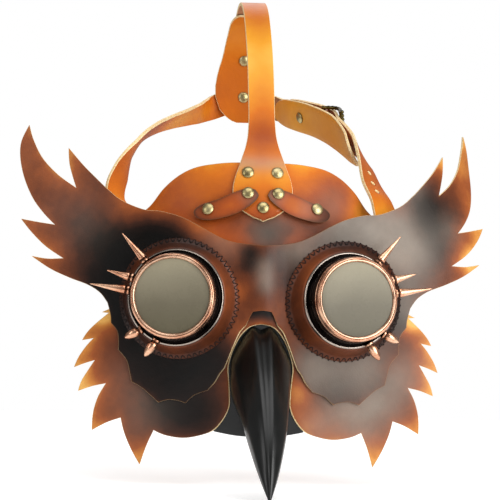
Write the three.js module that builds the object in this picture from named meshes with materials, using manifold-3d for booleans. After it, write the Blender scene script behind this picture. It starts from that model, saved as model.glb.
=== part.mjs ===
// Bird-beaked plague doctor mask in two-tone leather, with spiked goggles and a buckled strap harness.
// Millimetres, as worn: +X to the right of the front view, the front faces -Y, +Z up.
// The origin is on the centre line, at eye level, on the front of the wing panel's nose bridge.
import * as THREE from 'three';
import { mergeVertices } from 'three/addons/utils/BufferGeometryUtils.js';
import Module from 'manifold-3d';

const wasm = await Module();
wasm.setup();

// ---- Driving dimensions ----
const LEATHER = 1.8;                 // thickness of the panels and tabs
const STRAP_LEATHER = 2.4;           // thickness of the lined straps
const GAP = 0.3;                     // clearance between pieces that touch
const FACE_GRID = 15;                // spacing of the mesh on the face, and on the tighter forehead
const FOREHEAD_GRID = 10;
const FACE_CURVE = 0.00175;          // how fast the face falls back to the sides, per mm
const BROW_LEAN = 0.0012;            // how fast the wings lean back above the brow, per mm
const BROW_Z = 20;
const CHIN_LEAN = 0.0006;            // how fast the cheeks fall back below the nose, per mm
const CHIN_Z = -20;
const CURL_START = 80;               // where the right wing starts to curl back
const CURL = 0.006;                  // curvature of its upper feathers, per mm
const CURL_LOW = 15;
const CURL_HIGH = 100;
const FOREHEAD_CURVE = 0.0055;       // the forehead panel wraps round the head more tightly
const FOREHEAD_LEAN = 0.25;
const FOREHEAD_ROUND = 0.0015;
const FOREHEAD_Z = 30;
const CHEEK_LAYER = LEATHER + GAP;   // the cheek panel lies behind the wing panel
const FLANGE_LAYER = 2 * CHEEK_LAYER;

const EYE_X = 54.5;                  // where the goggle's axis crosses the wing panel
const EYE_Z = -2;
const EYE_SPLAY = 12;                // degrees outward
const EYE_PITCH = 5;                 // degrees upward
const EYE_HOLE = 29;
const CONE_BASE = 36.5;
const CONE_TOP = 32.3;
const CONE_HEIGHT = 10;
const FLANGE_RADIUS = 31.5;
const FLANGE_THICK = 1.8;
const CUP_RADIUS = 28.4;
const CUP_TOP = 19.4;
const CUP_BORE = 23.4;
const NECK_RADIUS = 24.9;
const NECK_TOP = 22.2;
const RING_RADIUS = 27.5;
const RING_BORE = 25.6;
const RING_LIP = 24.1;
const RING_BOTTOM = 19.8;
const RING_TOP = 26.6;
const LENS_RADIUS = 25.2;
const LENS_THICK = 1.6;
const GASKET_THICK = 0.6;
const SPIKE_AXIAL = 15.8;            // height of the spikes above the panel along the goggle's axis
const SPIKE_STAND = 1.3;             // how far a spike's foot stands off the cup's wall
const SPIKE_SIDES = 12;
const GOGGLE_SIDES = 40;

const RIVET_RADIUS = 3.9;
const RIVET_DOME = 1.7;
const RIVET_BACK = 3.5;
const RIVET_BACK_THICK = 0.9;
const POST_RADIUS = 1.4;
const HOLE_RADIUS = 1.8;
const HOLE_DEPTH = 24;
const RIVET_SIDES = 10;

const STRAP_HALF = 8.8;
const TEMPLE_X = 90;                 // where the side straps are fastened behind the wings
const TEMPLE_Z = 41;

// ---- Materials ----
const material = (color, roughness, metalness = 0) =>
  new THREE.MeshStandardMaterial({ color, roughness, metalness });
const BROWN = material(0x4a2a1c, 0.45);
const CHEEK = material(0x7a4a30, 0.5);
const TAN = material(0xc4752e, 0.45);
const CONE_LEATHER = material(0x7d3f24, 0.45);
const BLACK = material(0x151614, 0.22);
const COPPER = material(0xb87348, 0.25, 1);
const DARK_METAL = material(0x2a2420, 0.3, 1);
const BRASS = material(0xb8a66a, 0.3, 1);
const SMOKE = material(0x8c866e, 0.08);
const RUBBER = material(0x1c1b1a, 0.8);

const group = new THREE.Group();

function add(name, geometry, finish, parent = group) {
  const mesh = new THREE.Mesh(geometry, finish);
  mesh.name = name;
  parent.add(mesh);
  return mesh;
}

// ---- Solids ----
function toSolid(geometry) {
  const bare = geometry.clone();
  bare.deleteAttribute('normal');
  bare.deleteAttribute('uv');
  const merged = mergeVertices(bare, 1e-4);
  return new wasm.Manifold(new wasm.Mesh({
    numProp: 3,
    vertProperties: new Float32Array(merged.attributes.position.array),
    triVerts: new Uint32Array(merged.index.array),
  }));
}

function toGeometry(solid) {
  const mesh = solid.getMesh();
  const geometry = new THREE.BufferGeometry();
  const positions = new Float32Array(mesh.numVert * 3);
  for (let i = 0; i < mesh.numVert; i += 1) {
    positions.set(mesh.vertProperties.subarray(i * mesh.numProp, i * mesh.numProp + 3), i * 3);
  }
  geometry.setAttribute('position', new THREE.BufferAttribute(positions, 3));
  geometry.setIndex(new THREE.BufferAttribute(new Uint32Array(mesh.triVerts), 1));
  geometry.computeVertexNormals();
  return geometry;
}

function remap(geometry, place) {
  const position = geometry.attributes.position;
  const point = new THREE.Vector3();
  for (let i = 0; i < position.count; i += 1) {
    point.fromBufferAttribute(position, i);
    place(point);
    position.setXYZ(i, point.x, point.y, point.z);
  }
  return geometry;
}

// ---- The face's surfaces ----
const smooth = (low, high, value) => THREE.MathUtils.smoothstep(value, low, high);
const above = (value, limit) => Math.max(0, value - limit);

function faceDepth(x, z) {
  const lean = BROW_LEAN * above(z, BROW_Z) ** 2 + CHIN_LEAN * above(CHIN_Z, z) ** 2;
  return FACE_CURVE * x * x + lean;
}

function foreheadDepth(x, z) {
  const rise = above(z, FOREHEAD_Z);
  const wrap = FACE_CURVE + (FOREHEAD_CURVE - FACE_CURVE) * smooth(10, 60, z);
  return CHEEK_LAYER + wrap * x * x + FOREHEAD_LEAN * rise + FOREHEAD_ROUND * rise * rise;
}

// The right wing is bent back about an upright line, more so towards its upper feathers.
function curlRightWing(point) {
  if (point.x <= CURL_START) return;
  const bend = CURL * smooth(CURL_LOW, CURL_HIGH, point.z);
  if (bend < 1e-5) return;
  const slope = Math.atan(2 * FACE_CURVE * CURL_START);
  const startY = faceDepth(CURL_START, point.z);
  const dx = point.x - CURL_START;
  const dy = point.y - startY;
  const along = dx * Math.cos(slope) + dy * Math.sin(slope);
  const out = dy * Math.cos(slope) - dx * Math.sin(slope);
  const turn = bend * along;
  const newAlong = Math.sin(turn) * (1 / bend - out);
  const newOut = (1 - Math.cos(turn)) / bend + out * Math.cos(turn);
  point.x = CURL_START + newAlong * Math.cos(slope) - newOut * Math.sin(slope);
  point.y = startY + newAlong * Math.sin(slope) + newOut * Math.cos(slope);
}

// A slab between two depths behind a surface, meshed on one shared grid.
function slab(depth, front, back, halfWidth, bottom, top) {
  const grid = depth === foreheadDepth ? FOREHEAD_GRID : FACE_GRID;
  const width = 2 * Math.ceil(halfWidth / grid) * grid;
  const low = Math.floor(bottom / grid) * grid;
  const high = Math.ceil(top / grid) * grid;
  const tall = high - low;
  const box = new THREE.BoxGeometry(width, back - front, tall, width / grid, 1, tall / grid);
  box.translate(0, (front + back) / 2, (low + high) / 2);
  remap(box, (p) => { p.y += depth(p.x, p.z); });
  return toSolid(box);
}

// ---- Outlines ----
// An outline is a list of edges that meet at corners. Each edge is a smooth curve through its points.
function edgePoints(edge) {
  if (edge.length === 2) return edge.map(([x, z]) => new THREE.Vector2(x, z));
  const curve = new THREE.SplineCurve(edge.map(([x, z]) => new THREE.Vector2(x, z)));
  return curve.getPoints((edge.length - 1) * 2);
}

function outlinePoints(edges) {
  return edges.flatMap((edge) => edgePoints(edge).slice(0, -1));
}

function symmetricOutline(halfEdges) {
  const right = outlinePoints(halfEdges);
  const lastEdge = halfEdges[halfEdges.length - 1];
  right.push(new THREE.Vector2(...lastEdge[lastEdge.length - 1]));
  const left = right.slice(1, -1).reverse().map((p) => new THREE.Vector2(-p.x, p.y));
  return [...right, ...left];
}

// A prism with its outline in X and Z, running along Y from one depth to another.
function prism(points, front, back) {
  const shape = new THREE.Shape(points);
  const geometry = new THREE.ExtrudeGeometry(shape, { depth: back - front, bevelEnabled: false });
  geometry.rotateX(Math.PI / 2);
  geometry.translate(0, back, 0);
  return toSolid(geometry);
}

function circlePoints(radius, sides, x = 0, z = 0) {
  return Array.from({ length: sides }, (_, i) => {
    const angle = (2 * Math.PI * i) / sides;
    return new THREE.Vector2(x + radius * Math.cos(angle), z + radius * Math.sin(angle));
  });
}

// Right half of the wing panel: brow, four feathers, scalloped lower edge and the nose notch.
const WING_HALF = [
  [[0, 33.5], [14, 34.5], [24, 36.5], [34, 41], [45, 47], [55, 51.5], [67, 54.5], [78, 55.5],
    [92, 61], [101, 68], [109, 75.5], [118, 84.5], [127.5, 95.5]],
  [[127.5, 95.5], [126.5, 84], [122, 69]],
  [[122, 69], [134, 77.5], [144.5, 88.5], [151, 101], [154, 111]],
  [[154, 111], [159, 100], [159.5, 89], [156.5, 75.5], [150.5, 62], [143, 52], [135.5, 44.5]],
  [[135.5, 44.5], [146, 46], [158, 48]],
  [[158, 48], [150.5, 39], [141, 30], [129.5, 22.5]],
  [[129.5, 22.5], [140, 22], [150.5, 23.5]],
  [[150.5, 23.5], [138, 15.5], [125, 9.8], [113, 5.5], [105, 0.5], [100, -6]],
  [[100, -6], [98, -13.5], [97.5, -19]],
  [[97.5, -19], [93.5, -24], [92.5, -30], [92.5, -36.5]],
  [[92.5, -36.5], [87, -43], [85, -50], [83.5, -57]],
  [[83.5, -57], [77, -60.5], [71.5, -65], [66, -70]],
  [[66, -70], [59.5, -68], [53, -68.5], [48.5, -70]],
  [[48.5, -70], [42.5, -64.5], [34.5, -61.5]],
  [[34.5, -61.5], [30, -56], [27, -50.5], [24, -46.5]],
  [[24, -46.5], [21.5, -40], [18.5, -32], [14.5, -23], [10.5, -18.5]],
  [[10.5, -18.5], [7.5, -12], [6, -9.5]],
  [[6, -9.5], [0, -8.5]],
];

// Right half of the cheek panel: it runs up behind the wing panel, round the eye, and over the nose.
const CHEEK_HALF = [
  [[0, 4], [20, 6], [40, 8], [60, 9], [82, 6]],
  [[82, 6], [92, -4], [97, -9], [103.5, -12.3]],
  [[103.5, -12.3], [99, -12.6]],
  [[99, -12.6], [108, -20.5], [113, -26], [116, -31]],
  [[116, -31], [108.5, -29.4]],
  [[108.5, -29.4], [113, -34.5], [118, -42], [121, -49]],
  [[121, -49], [114, -46], [107.5, -43.8]],
  [[107.5, -43.8], [112, -51], [116, -58], [118, -64.5]],
  [[118, -64.5], [109, -61], [100, -58.8]],
  [[100, -58.8], [105, -68], [108, -79], [108.5, -90]],
  [[108.5, -90], [99, -84.5], [90, -81]],
  [[90, -81], [87.5, -90.5], [83, -101], [77, -111.5]],
  [[77, -111.5], [73, -99], [68.5, -88.5]],
  [[68.5, -88.5], [61, -91.5], [50, -93], [40, -91.5], [31, -88], [24.5, -81], [20.5, -72.5], [20.2, -64],
    [21, -54], [21.5, -46], [19.5, -37.5], [16, -29], [12, -23], [7, -19], [0, -17.5]],
];

// Right half of the forehead panel; its lower part is hidden behind the wing panel.
const FOREHEAD_HALF = [
  [[0, 88], [18, 88], [30, 87], [43, 84.5], [54, 79], [64, 70], [73, 58], [84, 50], [96, 45]],
  [[96, 45], [100, 34], [92, 29]],
  [[92, 29], [70, 38], [45, 39], [22, 30], [0, 22]],
];

// Right half of the flange behind the beak.
const FLANGE_HALF = [
  [[0, -6], [12, -9], [20, -20], [27, -38], [29, -58], [29, -88]],
  [[29, -88], [14, -90.5], [0, -91]],
];

const RIVETS = {
  rivet_brow_upper_left: [-9.5, 80.5],
  rivet_brow_upper_right: [9.5, 80.5],
  rivet_brow_inner_left: [-9.5, 66.2],
  rivet_brow_inner_right: [9.5, 66.2],
  rivet_brow_centre: [0, 57.5],
  rivet_brow_outer_left: [-34.5, 55.2],
  rivet_brow_outer_right: [34.5, 56.6],
};

// ---- Frames that stand on the face ----
// A frame whose local +Z points forward, out of a surface, at (x, z) on it.
function surfaceFrame(depth, x, z) {
  const step = 0.5;
  const slopeX = (depth(x + step, z) - depth(x - step, z)) / (2 * step);
  const slopeZ = (depth(x, z + step) - depth(x, z - step)) / (2 * step);
  const normal = new THREE.Vector3(slopeX, -1, slopeZ).normalize();
  const frame = new THREE.Group();
  frame.position.set(x, depth(x, z), z);
  frame.quaternion.setFromUnitVectors(new THREE.Vector3(0, 0, 1), normal);
  return frame;
}

// A cutter that makes a rivet's hole along the +Z of a frame.
function postHole(frame) {
  frame.updateMatrixWorld(true);
  const cylinder = new THREE.CylinderGeometry(HOLE_RADIUS, HOLE_RADIUS, HOLE_DEPTH, RIVET_SIDES);
  cylinder.rotateX(Math.PI / 2);
  cylinder.applyMatrix4(frame.matrixWorld);
  return toSolid(cylinder);
}

function rivetHole(depth, x, z) {
  return postHole(surfaceFrame(depth, x, z));
}

// A turned solid about +Z from rows of radius and height.
function lathe(profile, segments) {
  const points = profile.map(([radius, height]) => new THREE.Vector2(radius, height));
  const geometry = new THREE.LatheGeometry(points, segments);
  geometry.rotateX(Math.PI / 2);
  return geometry;
}

// A double-cap rivet: local +Z is its front, and its front cap sits on z = 0.
function rivetGeometry(grip) {
  const base = -grip - GAP * 2;
  return lathe([
    [0, base - RIVET_BACK_THICK], [RIVET_BACK, base - RIVET_BACK_THICK],
    [RIVET_BACK, base], [POST_RADIUS, base], [POST_RADIUS, 0], [RIVET_RADIUS, 0], [RIVET_RADIUS, 0.4],
    [RIVET_RADIUS * 0.7, RIVET_DOME * 0.85], [0, RIVET_DOME],
  ], RIVET_SIDES);
}

// ---- Panels ----
function eyeHole(side) {
  return prism(circlePoints(EYE_HOLE, 36, side * (EYE_X + 1), EYE_Z), -80, 80);
}

function cutPanel(body, outline, holes) {
  let solid = body.intersect(prism(outline, -150, 150));
  holes.forEach((hole) => { solid = solid.subtract(hole); });
  return remap(toGeometry(solid), curlRightWing);
}

function buildPanels() {
  const eyes = [eyeHole(-1), eyeHole(1)];
  const wing = slab(faceDepth, 0, LEATHER, 165, -80, 120);
  add('wing_panel', cutPanel(wing, symmetricOutline(WING_HALF), eyes), BROWN);

  const cheek = slab(faceDepth, CHEEK_LAYER, CHEEK_LAYER + LEATHER, 130, -115, 20);
  add('cheek_panel', cutPanel(cheek, symmetricOutline(CHEEK_HALF), eyes), CHEEK);

  const holes = Object.values(RIVETS).map(([x, z]) => rivetHole(foreheadDepth, x, z));
  const forehead = slab(foreheadDepth, 0, LEATHER, 110, 20, 90);
  const foreheadSolid = cutPanel(forehead, symmetricOutline(FOREHEAD_HALF), holes);
  add('forehead_panel', foreheadSolid, TAN);
}

// ---- Goggles ----
function eyeFrame(side) {
  const frame = new THREE.Group();
  frame.position.set(side * EYE_X, faceDepth(EYE_X, EYE_Z), EYE_Z);
  const splay = THREE.MathUtils.degToRad(side * EYE_SPLAY);
  const pitch = THREE.MathUtils.degToRad(EYE_PITCH);
  const axis = new THREE.Vector3(
    Math.sin(splay) * Math.cos(pitch), -Math.cos(splay) * Math.cos(pitch), Math.sin(pitch));
  const across = new THREE.Vector3(Math.cos(splay), Math.sin(splay), 0);
  const upward = new THREE.Vector3().crossVectors(axis, across);
  frame.quaternion.setFromRotationMatrix(new THREE.Matrix4().makeBasis(across, upward, axis));
  frame.updateMatrixWorld(true);
  return frame;
}

// The leather sleeve flares onto the panel, so its foot is trimmed to the panel's front.
function eyeCone(frame) {
  const foot = 12;
  const growth = (CONE_BASE - CONE_TOP) / CONE_HEIGHT;
  const footRadius = CONE_BASE + growth * foot;
  const sleeve = lathe([
    [footRadius - LEATHER, -foot], [footRadius, -foot], [CONE_TOP, CONE_HEIGHT],
    [CONE_TOP - LEATHER, CONE_HEIGHT], [footRadius - LEATHER, -foot],
  ], GOGGLE_SIDES);
  sleeve.applyMatrix4(frame.matrixWorld);
  const behind = slab(faceDepth, -GAP, 60, 110, -60, 60);
  const solid = toSolid(sleeve).subtract(behind);
  const geometry = toGeometry(solid);
  geometry.applyMatrix4(frame.matrixWorld.clone().invert());
  return geometry;
}

function cupGeometry() {
  const rear = 4;
  const flangeBottom = CONE_HEIGHT + GAP;
  const flangeTop = flangeBottom + FLANGE_THICK;
  return lathe([
    [CUP_BORE, rear], [CUP_RADIUS, rear], [CUP_RADIUS, flangeBottom], [FLANGE_RADIUS, flangeBottom],
    [FLANGE_RADIUS, flangeTop], [CUP_RADIUS + 0.8, flangeTop + 0.4], [CUP_RADIUS, CUP_TOP],
    [NECK_RADIUS, CUP_TOP], [NECK_RADIUS, NECK_TOP], [CUP_BORE, NECK_TOP], [CUP_BORE, rear],
  ], GOGGLE_SIDES);
}

function ringGeometry() {
  const lipBottom = NECK_TOP + GASKET_THICK + LENS_THICK + 3 * GAP;
  return lathe([
    [RING_BORE, RING_BOTTOM], [RING_RADIUS - 0.3, RING_BOTTOM], [RING_RADIUS, RING_BOTTOM + 1],
    [RING_RADIUS, RING_TOP - 1.6], [RING_RADIUS - 1.2, RING_TOP], [RING_LIP + 0.6, RING_TOP],
    [RING_LIP, RING_TOP - 0.6], [RING_LIP, lipBottom], [RING_BORE, lipBottom], [RING_BORE, RING_BOTTOM],
  ], GOGGLE_SIDES);
}

function lensGeometry() {
  const bottom = NECK_TOP + GASKET_THICK + 2 * GAP;
  const top = bottom + LENS_THICK;
  return lathe([[0, bottom], [LENS_RADIUS, bottom], [LENS_RADIUS, top], [0, top]], GOGGLE_SIDES);
}

function gasketGeometry() {
  const bottom = NECK_TOP + GAP;
  return lathe([
    [CUP_BORE + 0.3, bottom], [NECK_RADIUS, bottom], [NECK_RADIUS, bottom + GASKET_THICK],
    [CUP_BORE + 0.3, bottom + GASKET_THICK], [CUP_BORE + 0.3, bottom],
  ], 32);
}

// Each spike: where it sits round the left and the right cup, the way it points, and its shape. Angles are
// in degrees for the left eye, anticlockwise from the right as seen from the front.
const SPIKES = [
  { name: 'upper', seats: [131, 126], point: 132, length: 25, bullet: false },
  { name: 'middle', seats: [157, 154], point: 165, length: 18.5, bullet: false },
  { name: 'side', seats: [173, 171], point: 172, length: 27, bullet: false },
  { name: 'lower', seats: [226, 226], point: 208, length: 12.5, bullet: true },
  { name: 'bottom', seats: [249, 249], point: 236, length: 13.5, bullet: true },
];

function spikeGeometry(length, bullet) {
  const collar = [[0, 0], [3.1, 0], [3.1, 1.2], [2.4, 1.8]];
  const shaft = bullet
    ? [[2.9, 3], [3.2, 5], [2.9, length * 0.62], [1.7, length * 0.85]]
    : [[2.5, 2.6], [2.9, 3.4], [1.6, length * 0.55]];
  return lathe([...collar, ...shaft, [0, length]], SPIKE_SIDES);
}

function addSpike(frame, side, eye, spike) {
  const mirrored = (degrees) => THREE.MathUtils.degToRad(side < 0 ? degrees : 180 - degrees);
  const seat = mirrored(spike.seats[side < 0 ? 0 : 1]);
  const point = mirrored(spike.point);
  const lift = CUP_RADIUS + SPIKE_STAND;
  const mesh = add(`spike_${eye}_${spike.name}`, spikeGeometry(spike.length, spike.bullet), COPPER, frame);
  mesh.position.set(lift * Math.cos(seat), lift * Math.sin(seat), SPIKE_AXIAL);
  const direction = new THREE.Vector3(Math.cos(point), Math.sin(point), 0);
  mesh.quaternion.setFromUnitVectors(new THREE.Vector3(0, 0, 1), direction);
}

function buildGoggle(side, eye) {
  const frame = eyeFrame(side);
  add(`eye_cone_${eye}`, eyeCone(frame), CONE_LEATHER, frame);
  add(`cup_${eye}`, cupGeometry(), DARK_METAL, frame);
  add(`gasket_${eye}`, gasketGeometry(), RUBBER, frame);
  add(`lens_${eye}`, lensGeometry(), SMOKE, frame);
  add(`lens_ring_${eye}`, ringGeometry(), COPPER, frame);
  SPIKES.forEach((spike) => addSpike(frame, side, eye, spike));
  group.add(frame);
}

// ---- Beak ----
// Stations from the base to the tip: centre in Y and Z, half width, half height and tilt in degrees.
const BEAK = [
  { y: 4, z: -53, half: 19.6, tall: 33.5, tilt: 0 },
  { y: -9, z: -57.5, half: 18.4, tall: 30, tilt: 6 },
  { y: -22, z: -65, half: 16.6, tall: 25.5, tilt: 11 },
  { y: -35, z: -74, half: 14.8, tall: 21, tilt: 16 },
  { y: -48, z: -85, half: 12.7, tall: 16.4, tilt: 21 },
  { y: -59, z: -97, half: 9.6, tall: 11.9, tilt: 25 },
  { y: -68, z: -108.5, half: 6.2, tall: 7.3, tilt: 27 },
  { y: -74, z: -118, half: 2.9, tall: 3.2, tilt: 27 },
  { y: -77, z: -124, half: 0.6, tall: 0.7, tilt: 27 },
];
const BEAK_SIDES = 16;

// The section has a ridge along its top and bottom, and full round cheeks.
function beakSection(station, wall) {
  const tilt = THREE.MathUtils.degToRad(station.tilt);
  const half = Math.max(0.2, station.half - wall);
  const tall = Math.max(0.25, station.tall - 1.4 * wall);
  return Array.from({ length: BEAK_SIDES }, (_, i) => {
    const angle = (2 * Math.PI * i) / BEAK_SIDES;
    const across = half * Math.sin(angle);
    const rise = tall * Math.cos(angle);
    return new THREE.Vector3(
      across, station.y - rise * Math.sin(tilt), station.z + rise * Math.cos(tilt));
  });
}

function loft(sections) {
  const rings = sections.length;
  const sides = sections[0].length;
  const points = sections.flat();
  const indices = [];
  for (let r = 0; r < rings - 1; r += 1) {
    for (let s = 0; s < sides; s += 1) {
      const a = r * sides + s;
      const b = r * sides + ((s + 1) % sides);
      indices.push(a, a + sides, b, b, a + sides, b + sides);
    }
  }
  [[0, 1], [rings - 1, -1]].forEach(([ring, facing]) => {
    const middle = new THREE.Vector3();
    sections[ring].forEach((p) => middle.add(p));
    points.push(middle.multiplyScalar(1 / sides));
    const hub = points.length - 1;
    for (let s = 0; s < sides; s += 1) {
      const a = ring * sides + s;
      const b = ring * sides + ((s + 1) % sides);
      indices.push(...(facing > 0 ? [hub, a, b] : [hub, b, a]));
    }
  });
  const geometry = new THREE.BufferGeometry();
  const numbers = points.flatMap((p) => p.toArray());
  geometry.setAttribute('position', new THREE.Float32BufferAttribute(numbers, 3));
  geometry.setIndex(indices);
  return geometry;
}

function buildBeak() {
  const wall = 2;
  const outer = toSolid(loft(BEAK.map((station) => beakSection(station, 0))));
  const cavity = BEAK.slice(0, -2).map((station) => beakSection(station, wall));
  cavity.unshift(beakSection({ ...BEAK[0], y: BEAK[0].y + 20 }, wall));
  const hollow = toSolid(loft(cavity));
  const behind = slab(faceDepth, FLANGE_LAYER - GAP, 60, 40, -110, 10);
  add('beak_shell', toGeometry(outer.subtract(behind).subtract(hollow)), BLACK);

  const mouth = prism(beakSection(BEAK[0], wall + 1).map((p) => new THREE.Vector2(p.x, p.z)), -80, 80);
  const plate = slab(faceDepth, FLANGE_LAYER, FLANGE_LAYER + 1.5, 40, -100, 0);
  const cut = plate.intersect(prism(symmetricOutline(FLANGE_HALF), -80, 80)).subtract(mouth);
  add('beak_flange', toGeometry(cut), BLACK);
}

// ---- Strap routes ----
// Half widths of the head strap's front end against height; it lies on the forehead panel.
const HEAD_END = [[49.5, 0.8], [52, 7], [56, 13.5], [60, 17], [66, 19.5], [72, 19.6], [78, 18.2], [84, 16],
  [90, 14], [98, 11.3], [106, 9.6]];
// The head strap's way over the crown and down to the rear patch, in Y and Z.
const HEAD_RISE = [[32.5, 118], [39, 134], [50, 154], [66, 173], [92, 194], [122, 204], [152, 202],
  [175, 190], [187, 172], [189.5, 158], [190, 143], [190, 124]];
const HEAD_STRAP_STATIONS = HEAD_END.length + 9;

function headRoute() {
  const lift = STRAP_LEATHER / 2 + GAP;
  const onForehead = (z) => [0, foreheadDepth(0, z) - lift, z];
  const lying = HEAD_END.map(([z, half]) => ({ at: onForehead(z), wide: [1, 0, 0], half }));
  const rising = HEAD_RISE.map(([y, z]) => ({ at: [0, y, z], wide: [1, 0, 0], half: STRAP_HALF }));
  return [...lying, ...rising];
}

// Where the end of a side strap lies against the back of the wing panel, at the temple.
function templeStation(x, z) {
  const slope = 2 * FACE_CURVE * x;
  const back = (LEATHER + GAP + STRAP_LEATHER / 2) * Math.hypot(1, slope) + 1.2;
  return {
    at: [x, faceDepth(x, z) + back, z],
    wide: [-1, -slope, 0],
  };
}

const LEFT_ROUTE = [
  templeStation(-TEMPLE_X, TEMPLE_Z - 10),
  templeStation(-TEMPLE_X, TEMPLE_Z + 4),
  { at: [-96.3, 37, 66], wide: [-0.68, -0.5, 0.54] },
  { at: [-92, 50, 81], wide: [-0.45, -0.7, 0.54] },
  { at: [-84, 66, 96.5], wide: [0.1, -0.85, 0.45] },
  { at: [-74, 87, 109], wide: [0.35, -0.8, 0.45] },
  { at: [-62.5, 108, 116.5], wide: [0.4, -0.75, 0.5] },
  { at: [-49, 131, 122.5], wide: [0.4, -0.65, 0.6] },
  { at: [-36, 157, 128], wide: [0.3, -0.5, 0.8] },
  { at: [-25, 188.5, 133.5], wide: [0.1, -0.2, 1] },
  { at: [-8, 190.7, 140], wide: [0, 0, 1] },
  { at: [8, 190.7, 141.5], wide: [0, 0, 1] },
].map((station) => ({ ...station, half: STRAP_HALF }));

const RIGHT_ROUTE = [
  templeStation(TEMPLE_X - 6, TEMPLE_Z - 10),
  templeStation(TEMPLE_X - 6, TEMPLE_Z + 4),
  { at: [81.5, 30, 63], wide: [-0.85, -0.5, 0.1] },
  { at: [76.5, 44, 76], wide: [-0.8, -0.55, 0.25] },
  { at: [73.5, 62, 92], wide: [-0.6, -0.6, 0.55] },
  { at: [69.5, 84, 104.5], wide: [-0.25, -0.5, 0.83] },
  { at: [61.5, 108, 116], wide: [-0.1, -0.42, 0.9] },
  { at: [50, 131, 124.5], wide: [-0.16, -0.38, 0.91] },
  { at: [38, 157, 130], wide: [-0.18, -0.3, 0.93] },
  { at: [27, 189, 134.5], wide: [-0.1, -0.15, 1] },
  { at: [9, 193.5, 140], wide: [0, 0, 1] },
  { at: [-8, 193.5, 141], wide: [0, 0, 1] },
].map((station) => ({ ...station, half: STRAP_HALF }));

// A point on a route, with the strap's width, its direction and the way out of its outer face.
function routeFrame(route, t) {
  const path = new THREE.CatmullRomCurve3(route.map((s) => new THREE.Vector3(...s.at)), false, 'centripetal');
  const last = route.length - 1;
  const index = Math.min(last - 1, Math.floor(t * last));
  const mix = t * last - index;
  const along = path.getTangent(t);
  const wide = new THREE.Vector3(...route[index].wide).normalize()
    .lerp(new THREE.Vector3(...route[index + 1].wide).normalize(), mix);
  wide.addScaledVector(along, -wide.dot(along)).normalize();
  const half = THREE.MathUtils.lerp(route[index].half, route[index + 1].half, mix);
  return { at: path.getPoint(t), wide, along, outward: new THREE.Vector3().crossVectors(along, wide), half };
}

// A ribbon along part of a route. Its lift and half width may change with t, its place on the route.
function ribbon(route, { from = 0, to = 1, pieces, across = 1, thickness, liftAt = () => 0, halfAt }) {
  const box = new THREE.BoxGeometry(2, thickness, 1, across, 1, pieces);
  return remap(box, (p) => {
    const t = THREE.MathUtils.clamp(from + (p.z + 0.5) * (to - from), 0, 1);
    const frame = routeFrame(route, t);
    const sideways = p.x * (halfAt ? halfAt(t) : frame.half);
    const lift = p.y + liftAt(t);
    p.copy(frame.at).addScaledVector(frame.wide, sideways).addScaledVector(frame.outward, lift);
  });
}

// The strap's lower end is formed to the curve of the forehead; the bend fades out above it.
function formToForehead(point) {
  if (point.y > 60) return;
  const wrap = foreheadDepth(point.x, 75) - foreheadDepth(0, 75);
  point.y += wrap * (1 - smooth(88, 112, point.z));
}

function drill(geometry, holes) {
  return toGeometry(holes.reduce((solid, hole) => solid.subtract(hole), toSolid(geometry)));
}

// ---- Rivets ----
// A rivet stands in a frame whose +Z is its front; the frame lies on the front of the stack it holds.
function addRivet(name, frame, grip, seat = GAP) {
  const mesh = add(name, rivetGeometry(grip + seat - GAP), BRASS);
  mesh.position.copy(frame.position);
  mesh.quaternion.copy(frame.quaternion);
  mesh.translateZ(seat);
}

function stackFrame(at, normal) {
  const frame = new THREE.Group();
  frame.position.copy(at);
  frame.quaternion.setFromUnitVectors(new THREE.Vector3(0, 0, 1), normal);
  return frame;
}

// ---- Straps on the forehead ----
const TAB_LAYER = STRAP_LEATHER + 2 * GAP + LEATHER;

// Outline of the right brow tab.
const TAB_RIGHT = [
  [[3, 66.5], [5.5, 70], [11, 70.5], [19, 68], [30, 63], [40, 59.5], [44.8, 55.2], [43, 51], [36.5, 49.5],
    [27.5, 51], [17, 54.5], [9, 59.5], [4.5, 63.5]],
  [[4.5, 63.5], [3, 66.5]],
];

function buildTabs() {
  [[-1, 'left'], [1, 'right']].forEach(([side, label]) => {
    const points = outlinePoints(TAB_RIGHT).map((p) => new THREE.Vector2(side * p.x, p.y));
    const ordered = side > 0 ? points : points.reverse();
    const body = slab(foreheadDepth, -TAB_LAYER, -TAB_LAYER + LEATHER, 50, 40, 80);
    const holes = [`rivet_brow_inner_${label}`, `rivet_brow_outer_${label}`]
      .map((key) => rivetHole(foreheadDepth, ...RIVETS[key]));
    const solid = holes.reduce((kept, hole) => kept.subtract(hole), body.intersect(prism(ordered, -90, 90)));
    add(`brow_tab_${label}`, toGeometry(solid), TAN);
  });
}

function buildBrowRivets() {
  Object.entries(RIVETS).forEach(([name, [x, z]]) => {
    const onTab = name.includes('inner') || name.includes('outer');
    const front = onTab ? TAB_LAYER : STRAP_LEATHER + GAP;
    const frame = surfaceFrame(foreheadDepth, x, z);
    frame.translateZ(front);
    addRivet(name, frame, front + LEATHER);
  });
}

function buildHeadStrap() {
  const route = headRoute();
  const end = (HEAD_STRAP_STATIONS - 1) / (route.length - 1);
  const strap = ribbon(route, { to: end, pieces: 36, across: 4, thickness: STRAP_LEATHER });
  const keys = ['upper_left', 'upper_right', 'inner_left', 'inner_right', 'centre'];
  const holes = keys.map((key) => rivetHole(foreheadDepth, ...RIVETS[`rivet_brow_${key}`]));
  holes.push(postHole(rearFrame(REAR_UPPER)));
  add('head_strap', drill(remap(strap, formToForehead), holes), TAN);
}

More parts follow.
